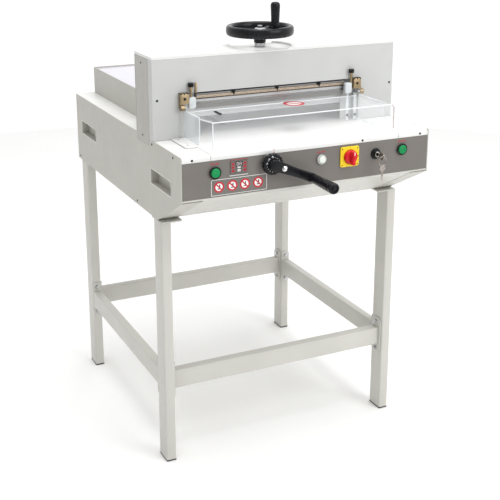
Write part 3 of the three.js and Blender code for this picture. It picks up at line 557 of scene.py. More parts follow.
# The warm tan tint of the holder strip stands for the beige machine mirrored in the polished steel: painted
# reflection.
warm_reflection_steel = brushed_steel("holder steel with painted warm reflection", (0.47, 0.385, 0.3), 0.26)
ground_steel = brushed_steel("ground steel", (0.5, 0.5, 0.505), 0.34)
dark_steel = brushed_steel("blued blade steel", (0.3, 0.295, 0.29), 0.28)
# Nearly black brown steel for the thin strip under the holder strip: painted shadow under its lower edge.
shadow_steel = brushed_steel("painted shadow steel", (0.1, 0.08, 0.062), 0.3)
dress(dark_steel, "knife")
dress(ground_steel, "knife_carrier", "clamp_beam", "back_gauge")
knife_low, knife_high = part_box("knife")
face_y = knife_low.y

for name, depth, height, drop, finish in (
    # The topmost strip is black: painted shadow in the gap above the blade.
    ("knife_top_bar", 0.0045, 0.0024, 0.0014, black_screw),
    ("knife_upper_strip", 0.0034, 0.0052, 0.0072, dark_steel),
    ("knife_holder_strip", 0.004, 0.008, 0.0156, warm_reflection_steel),
    # This dark strip is painted shadow under the holder strip.
    ("knife_joint_strip", 0.0012, 0.0028, 0.0186, shadow_steel),
    ("knife_ground_band", 0.001, 0.0072, 0.026, ground_steel),
):
    soft = depth * 0.3
    profile = [(-0.0003, 0), (depth - soft, 0), (depth, soft), (depth, height - soft)]
    profile += [(depth - soft, height), (-0.0003, height)]
    foot = knife_high.z - drop
    ends = (knife_low.x + 0.0005, knife_high.x - 0.0005)
    rings = [[(x, face_y - out, foot + lift) for out, lift in profile] for x in ends]
    skin(name, rings, finish, "knife_slide")
CAP = [(0.0044, 0), (0.0049, 0.0008), (0.0049, 0.004), (0.0042, 0.0048), (0.0024, 0.0048), (0.002, 0.003)]
STUB = [(0.0018, 0), (0.0024, 0.0004), (0.0024, 0.0016), (0.0012, 0.0022)]
for number, x in enumerate((-0.143, -0.005, 0.133)):
    spot = (x, face_y - 0.0038, knife_high.z - 0.004)
    turned(f"knife_screw_{number}", CAP, spot, "front", black_screw, "knife_slide", 24)
    spot = (x + 0.002, face_y - 0.0036, knife_high.z - 0.0112)
    turned(f"knife_stub_{number}", STUB, spot, "front", black_screw, "knife_slide", 20)

# ---- handwheel ------------------------------------------------------------
# Moulded black wheel on the clamp spindle: a thick rim, three dished spokes, a steel hub cap and nut,
# and a tall revolving grip on its own pin.

wheel_low, wheel_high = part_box("handwheel")
grip_low, grip_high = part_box("handwheel_grip")
hub = middle_of("clamp_spindle").xy
RIM_R = (wheel_high.x - wheel_low.x) / 2
RIM_HALF_WIDTH, RIM_HALF_HEIGHT = 0.0096, 0.0145
RIM_POWER = 2 / 2.6
wheel_black = black_plastic("handwheel plastic", 0.24)
dress(plated_steel("spindle steel", (0.5, 0.48, 0.46), 0.25), "clamp_spindle")


def ring_of(radius, half_width, half_height, level, steps=96, corners=20):
    """Rim: a rounded oblong section, |x/a|^2.6 + |z/b|^2.6 = 1, carried round a circle."""
    around = np.linspace(0, 2 * np.pi, steps, endpoint=False)[:, None]
    section = np.linspace(0, 2 * np.pi, corners, endpoint=False)[None, :]
    across = radius + half_width * np.sign(np.cos(section)) * np.abs(np.cos(section)) ** RIM_POWER
    height = level + half_height * np.sign(np.sin(section)) * np.abs(np.sin(section)) ** RIM_POWER
    return np.stack([across * np.cos(around), across * np.sin(around), height + 0 * around], -1)


rim_level = wheel_high.z - 0.0147
rim = faced(ring_of(RIM_R - 0.0098, RIM_HALF_WIDTH, RIM_HALF_HEIGHT, rim_level), (*hub, 0), "up")
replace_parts(skin("handwheel_rim", rim, wheel_black, "clamp_wheel", True), "handwheel")
grip_place = middle_of("handwheel_grip").xy
grip_angle = math.atan2(grip_place.y - hub.y, grip_place.x - hub.x)
turn = np.linspace(0, 2 * np.pi, 16, endpoint=False)
for number in range(3):
    angle = grip_angle + number * 2 * math.pi / 3
    rings = []
    for part in np.linspace(0, 1, 9):
        reach = 0.012 + part * (RIM_R - 0.028)
        width = 0.0115 - 0.0035 * math.sin(part * math.pi)
        drop = -0.012 * (1 - part) ** 2
        along, side = width * np.cos(turn), 0.0052 * np.sin(turn)
        x = reach * math.cos(angle) - along * math.sin(angle)
        y = reach * math.sin(angle) + along * math.cos(angle)
        rings.append(np.stack([hub.x + x, hub.y + y, rim_level + drop + side], -1))
    skin(f"handwheel_spoke_{number}", rings, wheel_black, "clamp_wheel")

hub_profile = [(0.0105, 1.2142), (0.0165, 1.2142), (0.0175, 1.2155), (0.0175, 1.228), (0.021, 1.234)]
hub_profile += [(0.021, 1.248), (0.0195, 1.2515), (0.006, 1.2515)]
collar = [(0.0102, 1.2035), (0.0155, 1.2035), (0.0162, 1.2045), (0.0162, 1.2105), (0.015, 1.212)]
collar += [(0.015, 1.2139), (0.0102, 1.2139)]
cap = [(0.015, 1.2512), (0.016, 1.2522), (0.016, 1.2545), (0.0145, 1.256), (0.004, 1.256)]
turned("handwheel_hub", hub_profile, (*hub, 0), "up", wheel_black, "clamp_wheel")
turned("spindle_collar", collar, (*hub, 0), "up", bolt_steel, "clamp_wheel")
turned("handwheel_hub_cap", cap, (*hub, 0), "up", bolt_steel, "clamp_wheel")
skin("handwheel_nut", faced(hexagon_head(0.013, 0.008), (*hub, 1.2558), "up"), bolt_steel, "clamp_wheel")
pin = [(0.0055, -0.01), (0.013, -0.01), (0.013, -0.0025), (0.0085, -0.0003), (0.005, -0.0003)]
grip_foot = (*grip_place, grip_low.z)
turned("handwheel_grip_collar", pin, grip_foot, "up", bolt_steel, "clamp_wheel", 32)
long = grip_high.z - grip_low.z
profile = [(0.004, 0), (0.0095, 0), (0.0104, 0.0008), (0.0108, 0.004), (0.0117, 0.3 * long)]
profile += [(0.013, 0.7 * long), (0.0136, 0.86 * long)]
for turn in np.linspace(0, 1.5, 8):
    profile.append((0.0136 - 0.0075 * (1 - math.cos(turn)), (0.88 + 0.12 * math.sin(turn)) * long))
profile += [(0.005, long), (0.0046, long - 0.0015), (0.002, long - 0.0015)]
grip = turned("handwheel_grip_handle", profile, grip_foot, "up", wheel_black, "wheel_knob", 40)
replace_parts(grip, "handwheel_grip")

# ---- gauge crank ----------------------------------------------------------
# Black crank on the lead screw of the back gauge: a notched dial with a scale ring, a cranked arm
# held by a ball-headed bolt, and a tapered grip that turns on its pin.

crank_black = black_plastic("crank plastic", 0.22)
dress(brushed_steel("lead screw steel", (0.5, 0.5, 0.5), 0.3, (30, 1, 30)), "lead_screw")
dial_low, dial_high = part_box("crank_dial")
arm_low, arm_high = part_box("crank_arm")
handle_low, handle_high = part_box("crank_grip")
DIAL_R = (dial_high.x - dial_low.x) / 2
MARK_R = DIAL_R * 0.66
dial_depth = dial_high.y - dial_low.y
axis_place = (crank_axis.x, dial_high.y, crank_axis.z)


def notched(radius, teeth, cut, height, steps):
    """Circle whose radius dips by cut at each tooth gap: radius less cut times a sharpened cosine."""
    angle = np.linspace(0, 2 * np.pi, steps, endpoint=False)
    radius = radius - cut * np.clip(np.cos(teeth * angle), 0, 1) ** 3
    return np.stack([radius * np.cos(angle), radius * np.sin(angle), np.full(steps, height)], -1)


def swung(reach, angle, y):
    """Place at a reach and an angle from the crank's axis, at depth y."""
    return (crank_axis.x + reach * math.cos(angle), y, crank_axis.z + reach * math.sin(angle))


dial_rings = [notched(DIAL_R * part, 16, cut, level, 192) for part, cut, level in (
    (0.86, 0.0, 0.0), (0.9, 0.0, 0.002), (0.9, 0.0, 0.008), (0.98, 0.0022, 0.009), (1.0, 0.0026, 0.011),
    (1.0, 0.0026, dial_depth - 0.003), (0.95, 0.0015, dial_depth - 0.0008), (0.8, 0.0, dial_depth),
    (0.3, 0.0, dial_depth),
)]
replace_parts(skin("gauge_dial", faced(dial_rings, axis_place, "front"), crank_black, "crank"), "crank_dial")
scale = [(0.905, 0.0028), (0.925, 0.003), (0.925, 0.0074), (0.905, 0.0076)]
scale = [(DIAL_R * part, level) for part, level in scale]
turned("dial_scale_ring", scale, axis_place, "front", bolt_steel, "crank", 64)
for number, angle in enumerate(np.linspace(0, 2 * np.pi, 16, endpoint=False) + np.pi / 16):
    spot = swung(MARK_R, angle, dial_low.y - 0.00005)
    sticker(f"dial_mark_{number}", (0.0016, 0.0016), spot, "front", white_ink, 0.0007, "crank")

handle_x, handle_z = (handle_low.x + handle_high.x) / 2, (handle_low.z + handle_high.z) / 2
arm_drop = math.atan2(handle_z - crank_axis.z, handle_x - crank_axis.x)
arm_depth = arm_high.y - arm_low.y
STATIONS = (
    (-0.0165, 0.001, 0.45), (-0.0158, 0.006, 0.7), (-0.012, 0.0115, 0.92), (-0.004, 0.0155, 1.0),
    (0.006, 0.016, 1.0), (0.022, 0.015, 1.0), (0.045, 0.0134, 0.98), (0.07, 0.0122, 0.96),
    (0.095, 0.012, 0.98), (0.112, 0.013, 1.0), (0.126, 0.0136, 1.0), (0.134, 0.011, 0.96),
    (0.1385, 0.0055, 0.75), (0.1393, 0.001, 0.45),
)
arm_rings = []
for along, half, part in STATIONS:
    outline = oblong(2 * half, arm_depth * part, min(half, arm_depth * part / 2) * 0.42)
    x = crank_axis.x + along * math.cos(arm_drop) - outline[:, 0] * math.sin(arm_drop)
    z = crank_axis.z + along * math.sin(arm_drop) + outline[:, 0] * math.cos(arm_drop)
    y = arm_high.y - arm_depth / 2 - outline[:, 1]
    arm_rings.append(np.stack([x, y, z], -1)[::-1])
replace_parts(skin("crank_arm_casting", arm_rings, crank_black, "crank"), "crank_arm")

ball_place = np.array(swung(0.018, arm_drop, arm_low.y)) + (0.01, 0, -0.004)
ball = [(0.0068 * math.cos(turn), 0.0066 * math.sin(turn)) for turn in np.linspace(0, 1.5, 9)]
ball = [(0.0078, -0.0012), (0.0078, 0.0002), *ball]
ball_steel = plated_steel("ball bolt steel", (0.8, 0.8, 0.8), 0.16)
turned("crank_bolt", ball, ball_place, "front", ball_steel, "crank", 32)
PIP = [(0.003, -0.0005), (0.003, 0.0008), (0.0022, 0.0015), (0.001, 0.0015)]
for number, (angle, reach) in enumerate(((2.3, 0.021), (1.75, 0.022), (2.9, 0.02))):
    spot = swung(reach, angle, dial_low.y)
    turned(f"dial_lock_screw_{number}", PIP, spot, "front", bolt_steel, "crank", 16)

long = handle_high.y - handle_low.y
taper = [(0.004, 0), (0.0116, 0), (0.0128, 0.001), (0.0132, 0.008)]
taper += [(0.014, 0.35 * long), (0.015, 0.75 * long)]
taper += [(radius, long - back) for radius, back in (
    (0.0155, 0.016), (0.0148, 0.0145), (0.0155, 0.013), (0.0156, 0.006), (0.0148, 0.0022), (0.0128, 0.0003),
    (0.01, 0), (0.0088, 0.003), (0.0062, 0.0032), (0.0056, 0.0012), (0.002, 0.0012),
)]
handle_place = (handle_x, handle_high.y, handle_z)
handle = turned("crank_handle_grip", taper, handle_place, "front", crank_black, "crank_handle")
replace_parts(handle, "crank_grip")

# ---- control panel --------------------------------------------------------
# Warm grey painted panel with two green cut buttons, a white start lamp button, a display,
# a yellow and red main switch, a key switch and a row of printed prohibition signs.


def glossy(name, color, roughness=0.24):
    """Moulded coloured plastic: deep colour, glossy, with faint flow clouds."""
    tint = ((60, 4), *tinted(color, 0.9, 1.08))
    return surface(name, tint, ((700, 2), 0.00003), roughness, {"Specular IOR Level": 0.3})


dress(powder_coat("warm grey panel paint", (0.165, 0.152, 0.138), 0.5), "control_panel")
green = glossy("green button plastic", (0.0, 0.25, 0.07), 0.34)
lamp_white = glossy("white lamp plastic", (0.74, 0.78, 0.72))
bezel_black = black_plastic("bezel plastic", 0.28)
bezel_pale = glossy("pale bezel plastic", (0.5, 0.5, 0.48))


def rear_middle(node):
    """Middle of the rear face of a node's box, and how deep the box is."""
    low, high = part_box(node)
    return ((low.x + high.x) / 2, high.y, (low.z + high.z) / 2), high.y - low.y


BEZEL = ((0.0006, 0.0), (0.004, 0.0), (0.004, 0.0028), (0.0028, 0.004), (0.0012, 0.004), (0.0006, 0.0034))


def push_button(node, body, finish, bezel):
    """Shallow domed cap, slightly dished in the middle, in a bezel ring of the given finish that is fixed to
    the panel.
    """
    low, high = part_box(node)
    radius = (high.x - low.x) / 2
    place, depth = rear_middle(node)
    profile = [(radius * 0.9, 0), (radius - 0.0002, 0.001), (radius - 0.0002, depth - 0.0025)]
    for turn in np.linspace(0.2, 1.57, 6):
        level = depth - 0.0025 + 0.0025 * math.sin(turn)
        profile.append((radius * (0.8 + 0.18 * math.cos(turn)), level))
    for part, sink in ((0.6, 0.0004), (0.3, 0.0009), (0.05, 0.001)):
        profile.append((radius * part, depth - sink))
    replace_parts(turned(node + "_cap", profile, place, "front", finish, body, 40), node)
    ring = [(radius + wide, level) for wide, level in BEZEL]
    turned(node + "_bezel", ring, (place[0], FACE - 0.0029, place[2]), "front", bezel)
    for number, side in enumerate((-1, 1)):
        spot = (place[0] + side * 0.0068, FACE, place[2] + radius + 0.0105)
        sticker(f"{node}_mark_{number}", (0.011, 0.0028), spot, "front", red_ink, 0.0006)


push_button("button_left", "cut_button_left", green, bezel_black)
push_button("button_right", "cut_button_right", green, bezel_black)
push_button("button_centre", "start_button", lamp_white, bezel_pale)

display_low, display_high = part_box("display_pad")
dress(powder_coat("display foil", (0.125, 0.115, 0.106), 0.35), "display_pad")
display_x = middle_of("display_pad").x
display_y = display_low.y
FILM = 0.00015
lit = glossy("lit segment plastic", (0.75, 0.66, 0.66), 0.5)
window = black_plastic("display window", 0.15, 200, 0.00002)
window_z = display_high.z - 0.0095
sticker("display_window", (0.02, 0.014), (display_x, display_y, window_z), "front", window, 0.0008)
segments = [((0.0044, 0.0011), (0, lift)) for lift in (-0.0044, 0, 0.0044)]
segments += [((0.0011, 0.0036), (side * 0.0026, lift)) for side in (-1, 1) for lift in (-0.0022, 0.0022)]
for digit in range(2):
    for number, (size, (x, z)) in enumerate(segments):
        spot = (display_x + (digit - 0.5) * 0.0085 + x, display_y - FILM, window_z + z)
        sticker(f"display_segment_{digit}_{number}", size, spot, "front", lit, 0.0003)
for row in range(3):
    for column in (-1, 0, 1):
        if row == 0 and column == 0:
            continue
        spot = (display_x + column * 0.0175, display_y, display_high.z - 0.0085 - row * 0.0095)
        ink = white_ink if column == 0 else red_ink
        name = f"{row}_{column + 1}"
        sticker("display_key_" + name, (0.0085, 0.006), spot, "front", ink, 0.0012, slot="red_plastic")
        spot = (spot[0], display_y - FILM, spot[2])
        sticker("display_key_mark_" + name, (0.004, 0.0016), spot, "front", window, 0.0003)
sticker("display_underline", (0.054, 0.0016), (display_x, FACE, display_low.z - 0.0045), "front", white_ink)
sticker("display_overline", (0.054, 0.0012), (display_x, FACE, display_high.z + 0.0025), "front", red_ink)

SIGN_X, SIGN_Z, SIGN_W, SIGN_H = -0.2195, 0.8815, 0.163, 0.043
LINE = 0.0013
frame_lines = [((SIGN_W, LINE), (0, side * SIGN_H / 2)) for side in (1, -1)]
frame_lines += [((LINE, SIGN_H), (side * SIGN_W / 2, 0)) for side in (1, -1)]
for number, (size, (x, z)) in enumerate(frame_lines):
    sticker(f"sign_frame_{number}", size, (SIGN_X + x, FACE, SIGN_Z + z), "front", white_ink)


def prohibition(name, place, way, radius, body="frame"):
    """Generic prohibition sign: white disc, raised red ring, and a red bar from upper left to lower right."""
    disc = [(radius * 0.92, 0), (radius * 0.92, FILM), (radius * 0.5, FILM)]
    turned(name + "_disc", disc, place, way, white_ink, body)
    ring = [(radius * 0.7, 0.0001), (radius, 0.0), (radius, 0.0003), (radius * 0.7, 0.0003)]
    turned(name + "_ring", ring, place, way, red_ink, body, joined=True)
    x, y, z = np.moveaxis(np.array(slab(radius * 1.6, radius * 0.24, 0.0003, 0.0001, 0.00005, 2)), -1, 0)
    bar = np.stack([(x + y) * math.sqrt(0.5), (y - x) * math.sqrt(0.5), z], -1)
    bar_place = np.array(place, float) + np.array(TURNS[way][2]) * 0.0001
    skin(name + "_bar", faced(bar, bar_place, way), red_ink, body)


FIGURE = (((0.003, 0.0125), (0.0018, 0.001)), ((0.007, 0.0026), (-0.0005, -0.0048)))
for number, x in enumerate((-0.0595, -0.0205, 0.0165, 0.0555)):
    middle = (SIGN_X + x, FACE, SIGN_Z + 0.001)
    prohibition(f"sign_{number}", middle, "front", 0.015)
    for part, (size, (right, lift)) in enumerate(FIGURE):
        spot = (middle[0] + right, FACE - FILM, middle[2] + lift)
        sticker(f"sign_{number}_figure_{part}", size, spot, "front", black_ink, 0.0009)

# ---- main switch ----------------------------------------------------------
# Yellow moulded plate with a red rotary handle that has a raised wing, on the right of the panel.

yellow = glossy("yellow switch plastic", (0.86, 0.62, 0.02), 0.3)
red = glossy("red switch plastic", (0.62, 0.012, 0.018), 0.22)
plate_low, plate_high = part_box("switch_plate")
plate_place, plate_depth = rear_middle("switch_plate")
size = (plate_high.x - plate_low.x, plate_high.z - plate_low.z, plate_depth, 0.006, 0.0016, 4)
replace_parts(plate("switch_yellow_plate", size, plate_place, "front", yellow), "switch_plate")
knob_place, knob_depth = rear_middle("switch_knob")
knob_x, knob_y, knob_z = knob_place
ring = [(0.0205, 0.0), (0.0245, 0.0), (0.0245, 0.001), (0.0235, 0.0018), (0.0215, 0.0018), (0.0205, 0.0012)]
turned("switch_ring", ring, (knob_x, plate_low.y, knob_z), "front", yellow, steps=56, joined=True)
disc = [(0.012, 0.0), (0.0196, 0.0), (0.0199, 0.0015), (0.0196, 0.0085), (0.018, 0.0108), (0.015, 0.0118)]
disc.append((0.004, 0.012))
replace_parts(turned("switch_red_disc", disc, knob_place, "front", red, "main_switch", 56), "switch_knob")
WING = ((0.01, 0.0), (0.018, 0.0006), (0.0232, 0.0014), (0.0252, 0.0026), (0.0259, 0.0044))
wing = [(oblong(0.0132 - 2 * inset, 0.043 - 1.6 * inset, 0.0062 - inset), level) for level, inset in WING]
skin("switch_wing", faced(stacked(wing), knob_place, "front"), red, "main_switch")
spot = (knob_x, knob_y - knob_depth + 0.0001, knob_z + 0.013)
sticker("switch_pointer", (0.0022, 0.01), spot, "front", white_ink, 0.0009, "main_switch")
for number, (x, z) in enumerate(((0, 0.0262), (0.0262, 0))):
    spot = (knob_x + x, plate_low.y, knob_z + z * 0.94)
    sticker(f"switch_mark_{number}", (0.0035, 0.0035), spot, "front", black_ink, 0.0012)
corners = ((-0.0245, 0.0235), (0.0245, -0.0235), (-0.0245, -0.0235), (0.0245, 0.0235))
spots = [(plate_place[0] + x, plate_low.y, plate_place[2] + z) for x, z in corners]
screws("switch_screw", spots, "front", 0.0018)

# ---- key switch -----------------------------------------------------------
# Black lock barrel with a nickel ring in a black cup, with its key turned in and a spare key on a wire ring.

nickel = plated_steel("worn nickel", (0.4, 0.365, 0.33), 0.2)
barrel_place, depth = rear_middle("key_barrel")
barrel_x, barrel_y, barrel_z = barrel_place
barrel = [(0.006, 0), (0.0128, 0), (0.013, 0.0005), (0.013, 0.0035), (0.0114, 0.0048)]
barrel += [(0.0108, depth - 0.0015), (0.01, depth - 0.0002), (0.0078, depth), (0.0074, depth - 0.0015)]
barrel.append((0.002, depth - 0.0015))
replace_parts(turned("lock_barrel", barrel, barrel_place, "front", bezel_black), "key_barrel")
lock_y = barrel_y - depth
ring = [(0.005, -0.0004), (0.0078, -0.0004), (0.0082, 0.0002), (0.0074, 0.0008), (0.0054, 0.0008)]
ring.append((0.0048, 0.0002))
turned("lock_ring", ring, (barrel_x, lock_y + 0.0004, barrel_z), "front", nickel, joined=True)
cup = [(0.0132, 0.0), (0.0158, 0.0), (0.016, 0.0012), (0.015, 0.0032), (0.0134, 0.0036)]
turned("lock_cup", cup, (barrel_x, FACE, barrel_z), "front", bezel_black, joined=True)
disc = [(0.0072, -0.0004), (0.0072, 0.0002), (0.001, 0.0002)]
turned("lock_face", disc, (barrel_x, lock_y + 0.0015, barrel_z), "front", black_screw, steps=40)


def key_plate(name, outline, place, way, thick, body):
    """Flat stamped key part: its outline, pulled in a little on both faces."""
    outline = np.asarray(outline, float)
    centre = outline.mean(0)
    inner = centre + (outline - centre) * 0.96
    rings = stacked([(inner, 0), (outline, thick * 0.2), (outline, thick * 0.8), (inner, thick)])
    return skin(name, faced(rings, place, way), nickel, body)


BOW_MIDDLE, EYE_MIDDLE = 0.011, 0.007  # behind the front of the key
HALF_KEY = 0.0009
key_low, key_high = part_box("key")
key_x, _, key_z = middle_of("key")
bow_y = key_low.y + BOW_MIDDLE
turn = np.linspace(0, 2 * np.pi, 32, endpoint=False)
circle = np.stack([np.cos(turn), np.sin(turn)], -1)
outer, eye = 0.0109 * circle, 0.0033 * circle + (EYE_MIDDLE - BOW_MIDDLE, 0)
bow = stacked([(outer, -HALF_KEY), (outer, HALF_KEY), (eye, HALF_KEY), (eye, -HALF_KEY)])
bow = skin("key_bow", faced(bow, (key_x, bow_y, key_z), "right"), nickel, "panel_key", True)
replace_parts(bow, "key")
shank = (key_high.y - bow_y - 0.0095, 0.0074, 2 * HALF_KEY, 0.0004, 0.0002, 2)
shank_place = (key_x - HALF_KEY, (key_high.y + bow_y + 0.01) / 2, key_z)
plate("key_shank", shank, shank_place, "right", nickel, "panel_key")

ring_low, ring_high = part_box("key_ring")
ring_x, ring_y = middle_of("key_ring").xy
ring_z = ring_high.z - 0.0141
wire = faced(ring_of(0.013, 0.001, 0.001, 0, 72, 10), (ring_x, ring_y, ring_z), "front")
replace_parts(skin("key_wire_ring", wire, nickel, "spare_key", True), "key_ring")
spare_bow = oblong(0.0185, 0.0165, 0.0066, 8)
bow_place = (ring_x, ring_y + HALF_KEY, ring_z - 0.0203)
key_plate("spare_key_bow", spare_bow, bow_place, "front", 2 * HALF_KEY, "spare_key")
blade = [(-0.0034, 0), (0.0034, 0), (0.0034, 0.007), (0.002, 0.009), (0.0034, 0.0115), (0.0022, 0.014)]
blade += [(0.0034, 0.017), (0.0034, 0.0275), (-0.0034, 0.0275)]
key_plate("spare_key_blade", blade, (ring_x, ring_y + 0.0007, ring_low.z), "front", 0.0014, "spare_key")

# ---- guard ----------------------------------------------------------------
# Clear acrylic guard over the bed, glued from plates and hinged on two small clamps on the front cover.
# Its cut edges are polished, and a round sign is stuck to its top sheet. Brighter bars on its edges are
# painted highlights.


def clear_sheet(name, alpha=0.13, color=(0.93, 0.96, 0.98)):
    """Clear polished acrylic: nearly see-through, glossy, with very faint waves."""
    even = {"Alpha": alpha, "Specular IOR Level": 0.6}
    return surface(name, ((4, 2), *tinted(color, 0.98), color), ((9, 1), 0.0003), 0.04, even)


guard_low, guard_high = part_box("guard")
guard_pivot = Vector(next(joint["pos_m"] for joint in frame["joints"] if joint["name"] == "guard_lift"))
dress(clear_sheet("clear acrylic"), "guard")
nodes["guard"].visible_shadow = False
# Whiter, more opaque sheets for the bars along the guard's edges: painted highlights, the one at the right
# end tinted pink.
edge_highlight = clear_sheet("acrylic edge highlight", 0.66, (0.84, 0.87, 0.89))
end_highlight = clear_sheet("acrylic end highlight, pink", 0.72, (0.5, 0.44, 0.43))


def edge_strip(name, start, end, width=0.003, finish=edge_highlight):
    """Painted highlight along an edge: a thin square bar with rounded corners, carried from start to end."""
    start, end = np.array(start, float), np.array(end, float)
    along = (end - start) / np.linalg.norm(end - start)
    side = np.cross(along, (0, 0, 1)) if abs(along[2]) < 0.9 else np.array((1.0, 0, 0))
    side = side / np.linalg.norm(side)
    lift = np.cross(along, side)
    outline = oblong(width, width, width * 0.3, 3)
    rings = [point + outline[:, :1] * side + outline[:, 1:] * lift for point in (start, end)]
    skin(name, rings, finish, "guard").visible_shadow = False


SHEET_TOP, RIB_TOP = 1.05, 1.0535
under_top, bend_z = SHEET_TOP - 0.001, SHEET_TOP - 0.01
base = guard_low.z
front_y, back_y = guard_low.y + 0.0025, guard_high.y
corner_y, sheet_y = guard_low.y + 0.057, front_y + 0.157
left_x, front_x, right_x, end_x = -0.295, -0.28, 0.261, guard_high.x
skin_x = end_x - 0.0016
for name, start, end, *look in (
    ("front_top", (front_x, front_y, under_top), (end_x - 0.01, front_y, under_top)),
    ("front_low", (front_x, front_y, base + 0.0015), (end_x - 0.001, front_y, base + 0.0015)),
    ("front_right", (skin_x, front_y, base + 0.002), (skin_x, front_y, bend_z), 0.0036, end_highlight),
    ("front_bend", (skin_x, front_y, bend_z), (end_x - 0.01, front_y, under_top), 0.0034, end_highlight),
    ("left_rear", (left_x, back_y - 0.0015, base), (left_x, back_y - 0.0015, RIB_TOP)),
    ("front_left", (front_x, front_y, base), (front_x, front_y, SHEET_TOP)),
    ("corner_top", (left_x, corner_y, SHEET_TOP), (front_x, front_y, SHEET_TOP)),
    ("corner", (left_x, corner_y, base), (left_x, corner_y, SHEET_TOP)),
    ("left_top", (left_x, corner_y, RIB_TOP), (left_x, back_y - 0.02, RIB_TOP)),
    ("right_top", (right_x, front_y, RIB_TOP), (right_x, back_y - 0.02, RIB_TOP)),
    ("right_low", (right_x, front_y, base + 0.001), (right_x, back_y - 0.004, base + 0.001)),
    ("sheet_rear", (-0.292, sheet_y, 1.0485), (right_x - 0.003, sheet_y, 1.0485), 0.0024),
):
    edge_strip("guard_edge_" + name, start, end, *look)
prohibition("guard_sign", (0.03, front_y + 0.128, SHEET_TOP), "up", 0.031, "guard")
stop_place = (-0.2205, front_y + 0.101, SHEET_TOP)
stop_rubber = rubber("clear grey rubber")
plate("guard_rest_stop", (0.008, 0.044, 0.003, 0.0035, 0.0006), stop_place, "up", stop_rubber, "guard")
# A paler, more opaque sheet laid over the left side plate: painted reflection of the acrylic seen at a
# grazing angle.
grazing_reflection = clear_sheet("left face, painted reflection", 0.4, (0.74, 0.77, 0.79))
side_long, side_high = back_y - 0.002 - corner_y, SHEET_TOP + 0.003 - base
face_place = (guard_low.x - 0.0001, corner_y + side_long / 2, base + side_high / 2)
size = (side_long, side_high, 0.0003, 0.001, 0.0001, 2)
plate("guard_left_face", size, face_place, "left", grazing_reflection, "guard").visible_shadow = False

# ---- guard hinges ---------------------------------------------------------
# The hinge blocks are small clamps of machined brass: a notched block, a pale moulded carrier with the thumb
# screw, a knuckle round the guard's pin, and on the right two clear posts that are bolted over the table.

brass = brushed_steel("machined brass", (0.36, 0.275, 0.165), 0.34, (30, 30, 1))
pale_carrier = glossy("pale moulded plastic", (0.62, 0.65, 0.66), 0.3)
knob_black = black_plastic("thumb screw plastic", 0.3)
clear_post = clear_sheet("clear post", 0.5, (0.8, 0.84, 0.87))


def block(name, reach_x, reach_z, depth, finish, corner=0.0012):
    """Upright block on the front cover, between two places along X and two heights, with rounded edges."""
    size = (abs(reach_x[1] - reach_x[0]), reach_z[1] - reach_z[0], depth, corner, 0.0008)
    place = (sum(reach_x) / 2, front_low.y - 0.0003, sum(reach_z) / 2)
    return plate(name, size, place, "front", finish)


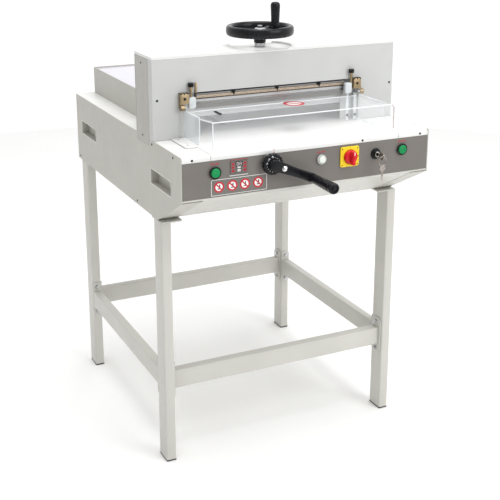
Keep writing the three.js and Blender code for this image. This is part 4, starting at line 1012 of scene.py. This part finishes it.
BRASS_REACH = {"left": (0.0, 0.026), "right": (0.008, 0.033)}
CARRIER_REACH = {"left": (0.0268, 0.047), "right": (0.038, 0.06)}
LUG = 0.0115
PIN = 0.0185
KNUCKLE = [(0.0035, 0.0), (0.0075, 0.0), (0.008, 0.0006), (0.008, 0.0109), (0.0075, LUG), (0.0035, LUG)]
PIN_PROFILE = [(0.001, 0.0), (0.0026, 0.0), (0.0029, 0.0004), (0.0029, PIN - 0.0004)]
PIN_PROFILE += [(0.0026, PIN), (0.001, PIN)]
for hand, inward in (("left", 1), ("right", -1)):
    low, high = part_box(f"hinge_block_{hand}")
    outer = low.x if inward > 0 else high.x
    top = high.z
    edges = [outer + inward * reach for reach in BRASS_REACH[hand]]
    body = block(f"hinge_brass_{hand}", edges, (top - 0.032, top - 0.002), 0.0145, brass)
    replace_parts(body, f"hinge_block_{hand}")
    # The notches are black blocks standing on the brass: painted shade in the notches.
    for number in range(3):
        notch_x = edges[0] + inward * (0.0025 + 0.0098 * number)
        notch = (notch_x - 0.0022, notch_x + 0.0022)
        block(f"hinge_notch_shadow_{hand}_{number}", notch, (top - 0.005, top - 0.0005), 0.015, black_screw)
    screw(f"hinge_screw_{hand}", (sum(edges) / 2, front_low.y - 0.0146, top - 0.017), "front", 0.0042)
    carrier = [outer + inward * reach for reach in CARRIER_REACH[hand]]
    block(f"hinge_carrier_{hand}", carrier, (top - 0.046, top - 0.014), 0.0125, pale_carrier, 0.005)
    lug = (outer, outer + inward * LUG)
    spot = (min(lug), *guard_pivot.yz)
    turned(f"hinge_knuckle_{hand}", KNUCKLE, spot, "right", brass, steps=32, joined=True)
    spot = (outer if inward > 0 else outer - PIN, *guard_pivot.yz)
    turned(f"hinge_pin_{hand}", PIN_PROFILE, spot, "right", bolt_steel, steps=24)
    block(f"hinge_leaf_{hand}", lug, (guard_pivot.z - 0.006, top - 0.03), 0.005, brass)

    node, body = f"thumb_screw_{hand}", f"{hand}_thumb_screw"
    low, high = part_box(node)
    place = (*middle_of(node).xy, 0)
    radius = (high.x - low.x) / 2
    cap_low, cap_high = high.z - 0.0115, high.z
    rings = [notched(radius * part, 24, cut, level, 144) for part, cut, level in (
        (0.5, 0, cap_low), (0.94, 0, cap_low + 0.0002), (1.0, 0.0006, cap_low + 0.001),
        (1.0, 0.0006, cap_high - 0.0012), (0.94, 0, cap_high - 0.0002), (0.5, 0, cap_high),
        (0.1, 0, cap_high),
    )]
    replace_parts(skin(f"{node}_knob", faced(rings, place, "up"), knob_black, body), node)
    stem = [(0.003, low.z - 0.016), (0.0036, low.z - 0.0155), (0.0036, low.z + 0.003)]
    stem += [(0.005, cap_low - 0.002), (0.005, cap_low)]
    turned(f"{node}_stem", stem, place, "up", brass, body, 32)

block_low, block_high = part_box("hinge_block_left")
tab_x, tab_z = CARRIER_REACH["left"][1] + block_low.x, block_high.z
block("hinge_tab_left", (tab_x + 0.001, tab_x + 0.0065), (tab_z - 0.004, tab_z + 0.024), 0.005, brass)
for number, reach in enumerate((0.047, 0.021)):
    post_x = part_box("hinge_block_right")[1].x - reach
    sides = (post_x - 0.0045, post_x + 0.0045)
    post = block(f"hinge_post_{number}", sides, (TABLE + 0.0015, tab_z - 0.0475), 0.005, clear_post)
    post.visible_shadow = False
    screw(f"hinge_post_bolt_{number}", (post_x, front_low.y - 0.0054, TABLE + 0.018), "front", 0.0044)

foot_x, foot_y = guard_low.x - 0.0212, corner_y + 0.051
foot = (foot_x, foot_y, TABLE)
plate("guard_foot_bracket", (0.036, 0.112, 0.0036, 0.006, 0.0008), foot, "up", white_coat)
plate("guard_foot_gasket", (0.0375, 0.1135, 0.0006, 0.0065, 0.0002), foot, "up", joint_grey)
spots = [(foot_x - 0.004, foot_y + y, TABLE + 0.0036) for y in (-0.035, 0.035)]
screws("guard_foot_screw", spots, "up", 0.0036, bolt_steel)

# ---- rear hood ------------------------------------------------------------
# Beige sheet walls round the rear table, closed by a milky acrylic lid that lets light through.

# The hood walls take the darker copy of the beige coat: painted shade.
dress(shaded_beige, "rear_walls")
dress(clear_sheet("milky acrylic", 0.72, (0.8, 0.79, 0.86)), "rear_lid")
lid_low, lid_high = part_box("rear_lid")
spots = [(x, lid_high.y - 0.015, lid_high.z) for x in (lid_low.x + 0.02, 0.0, lid_high.x - 0.02)]
screws("lid_screw", spots, "up", 0.003, bolt_steel)
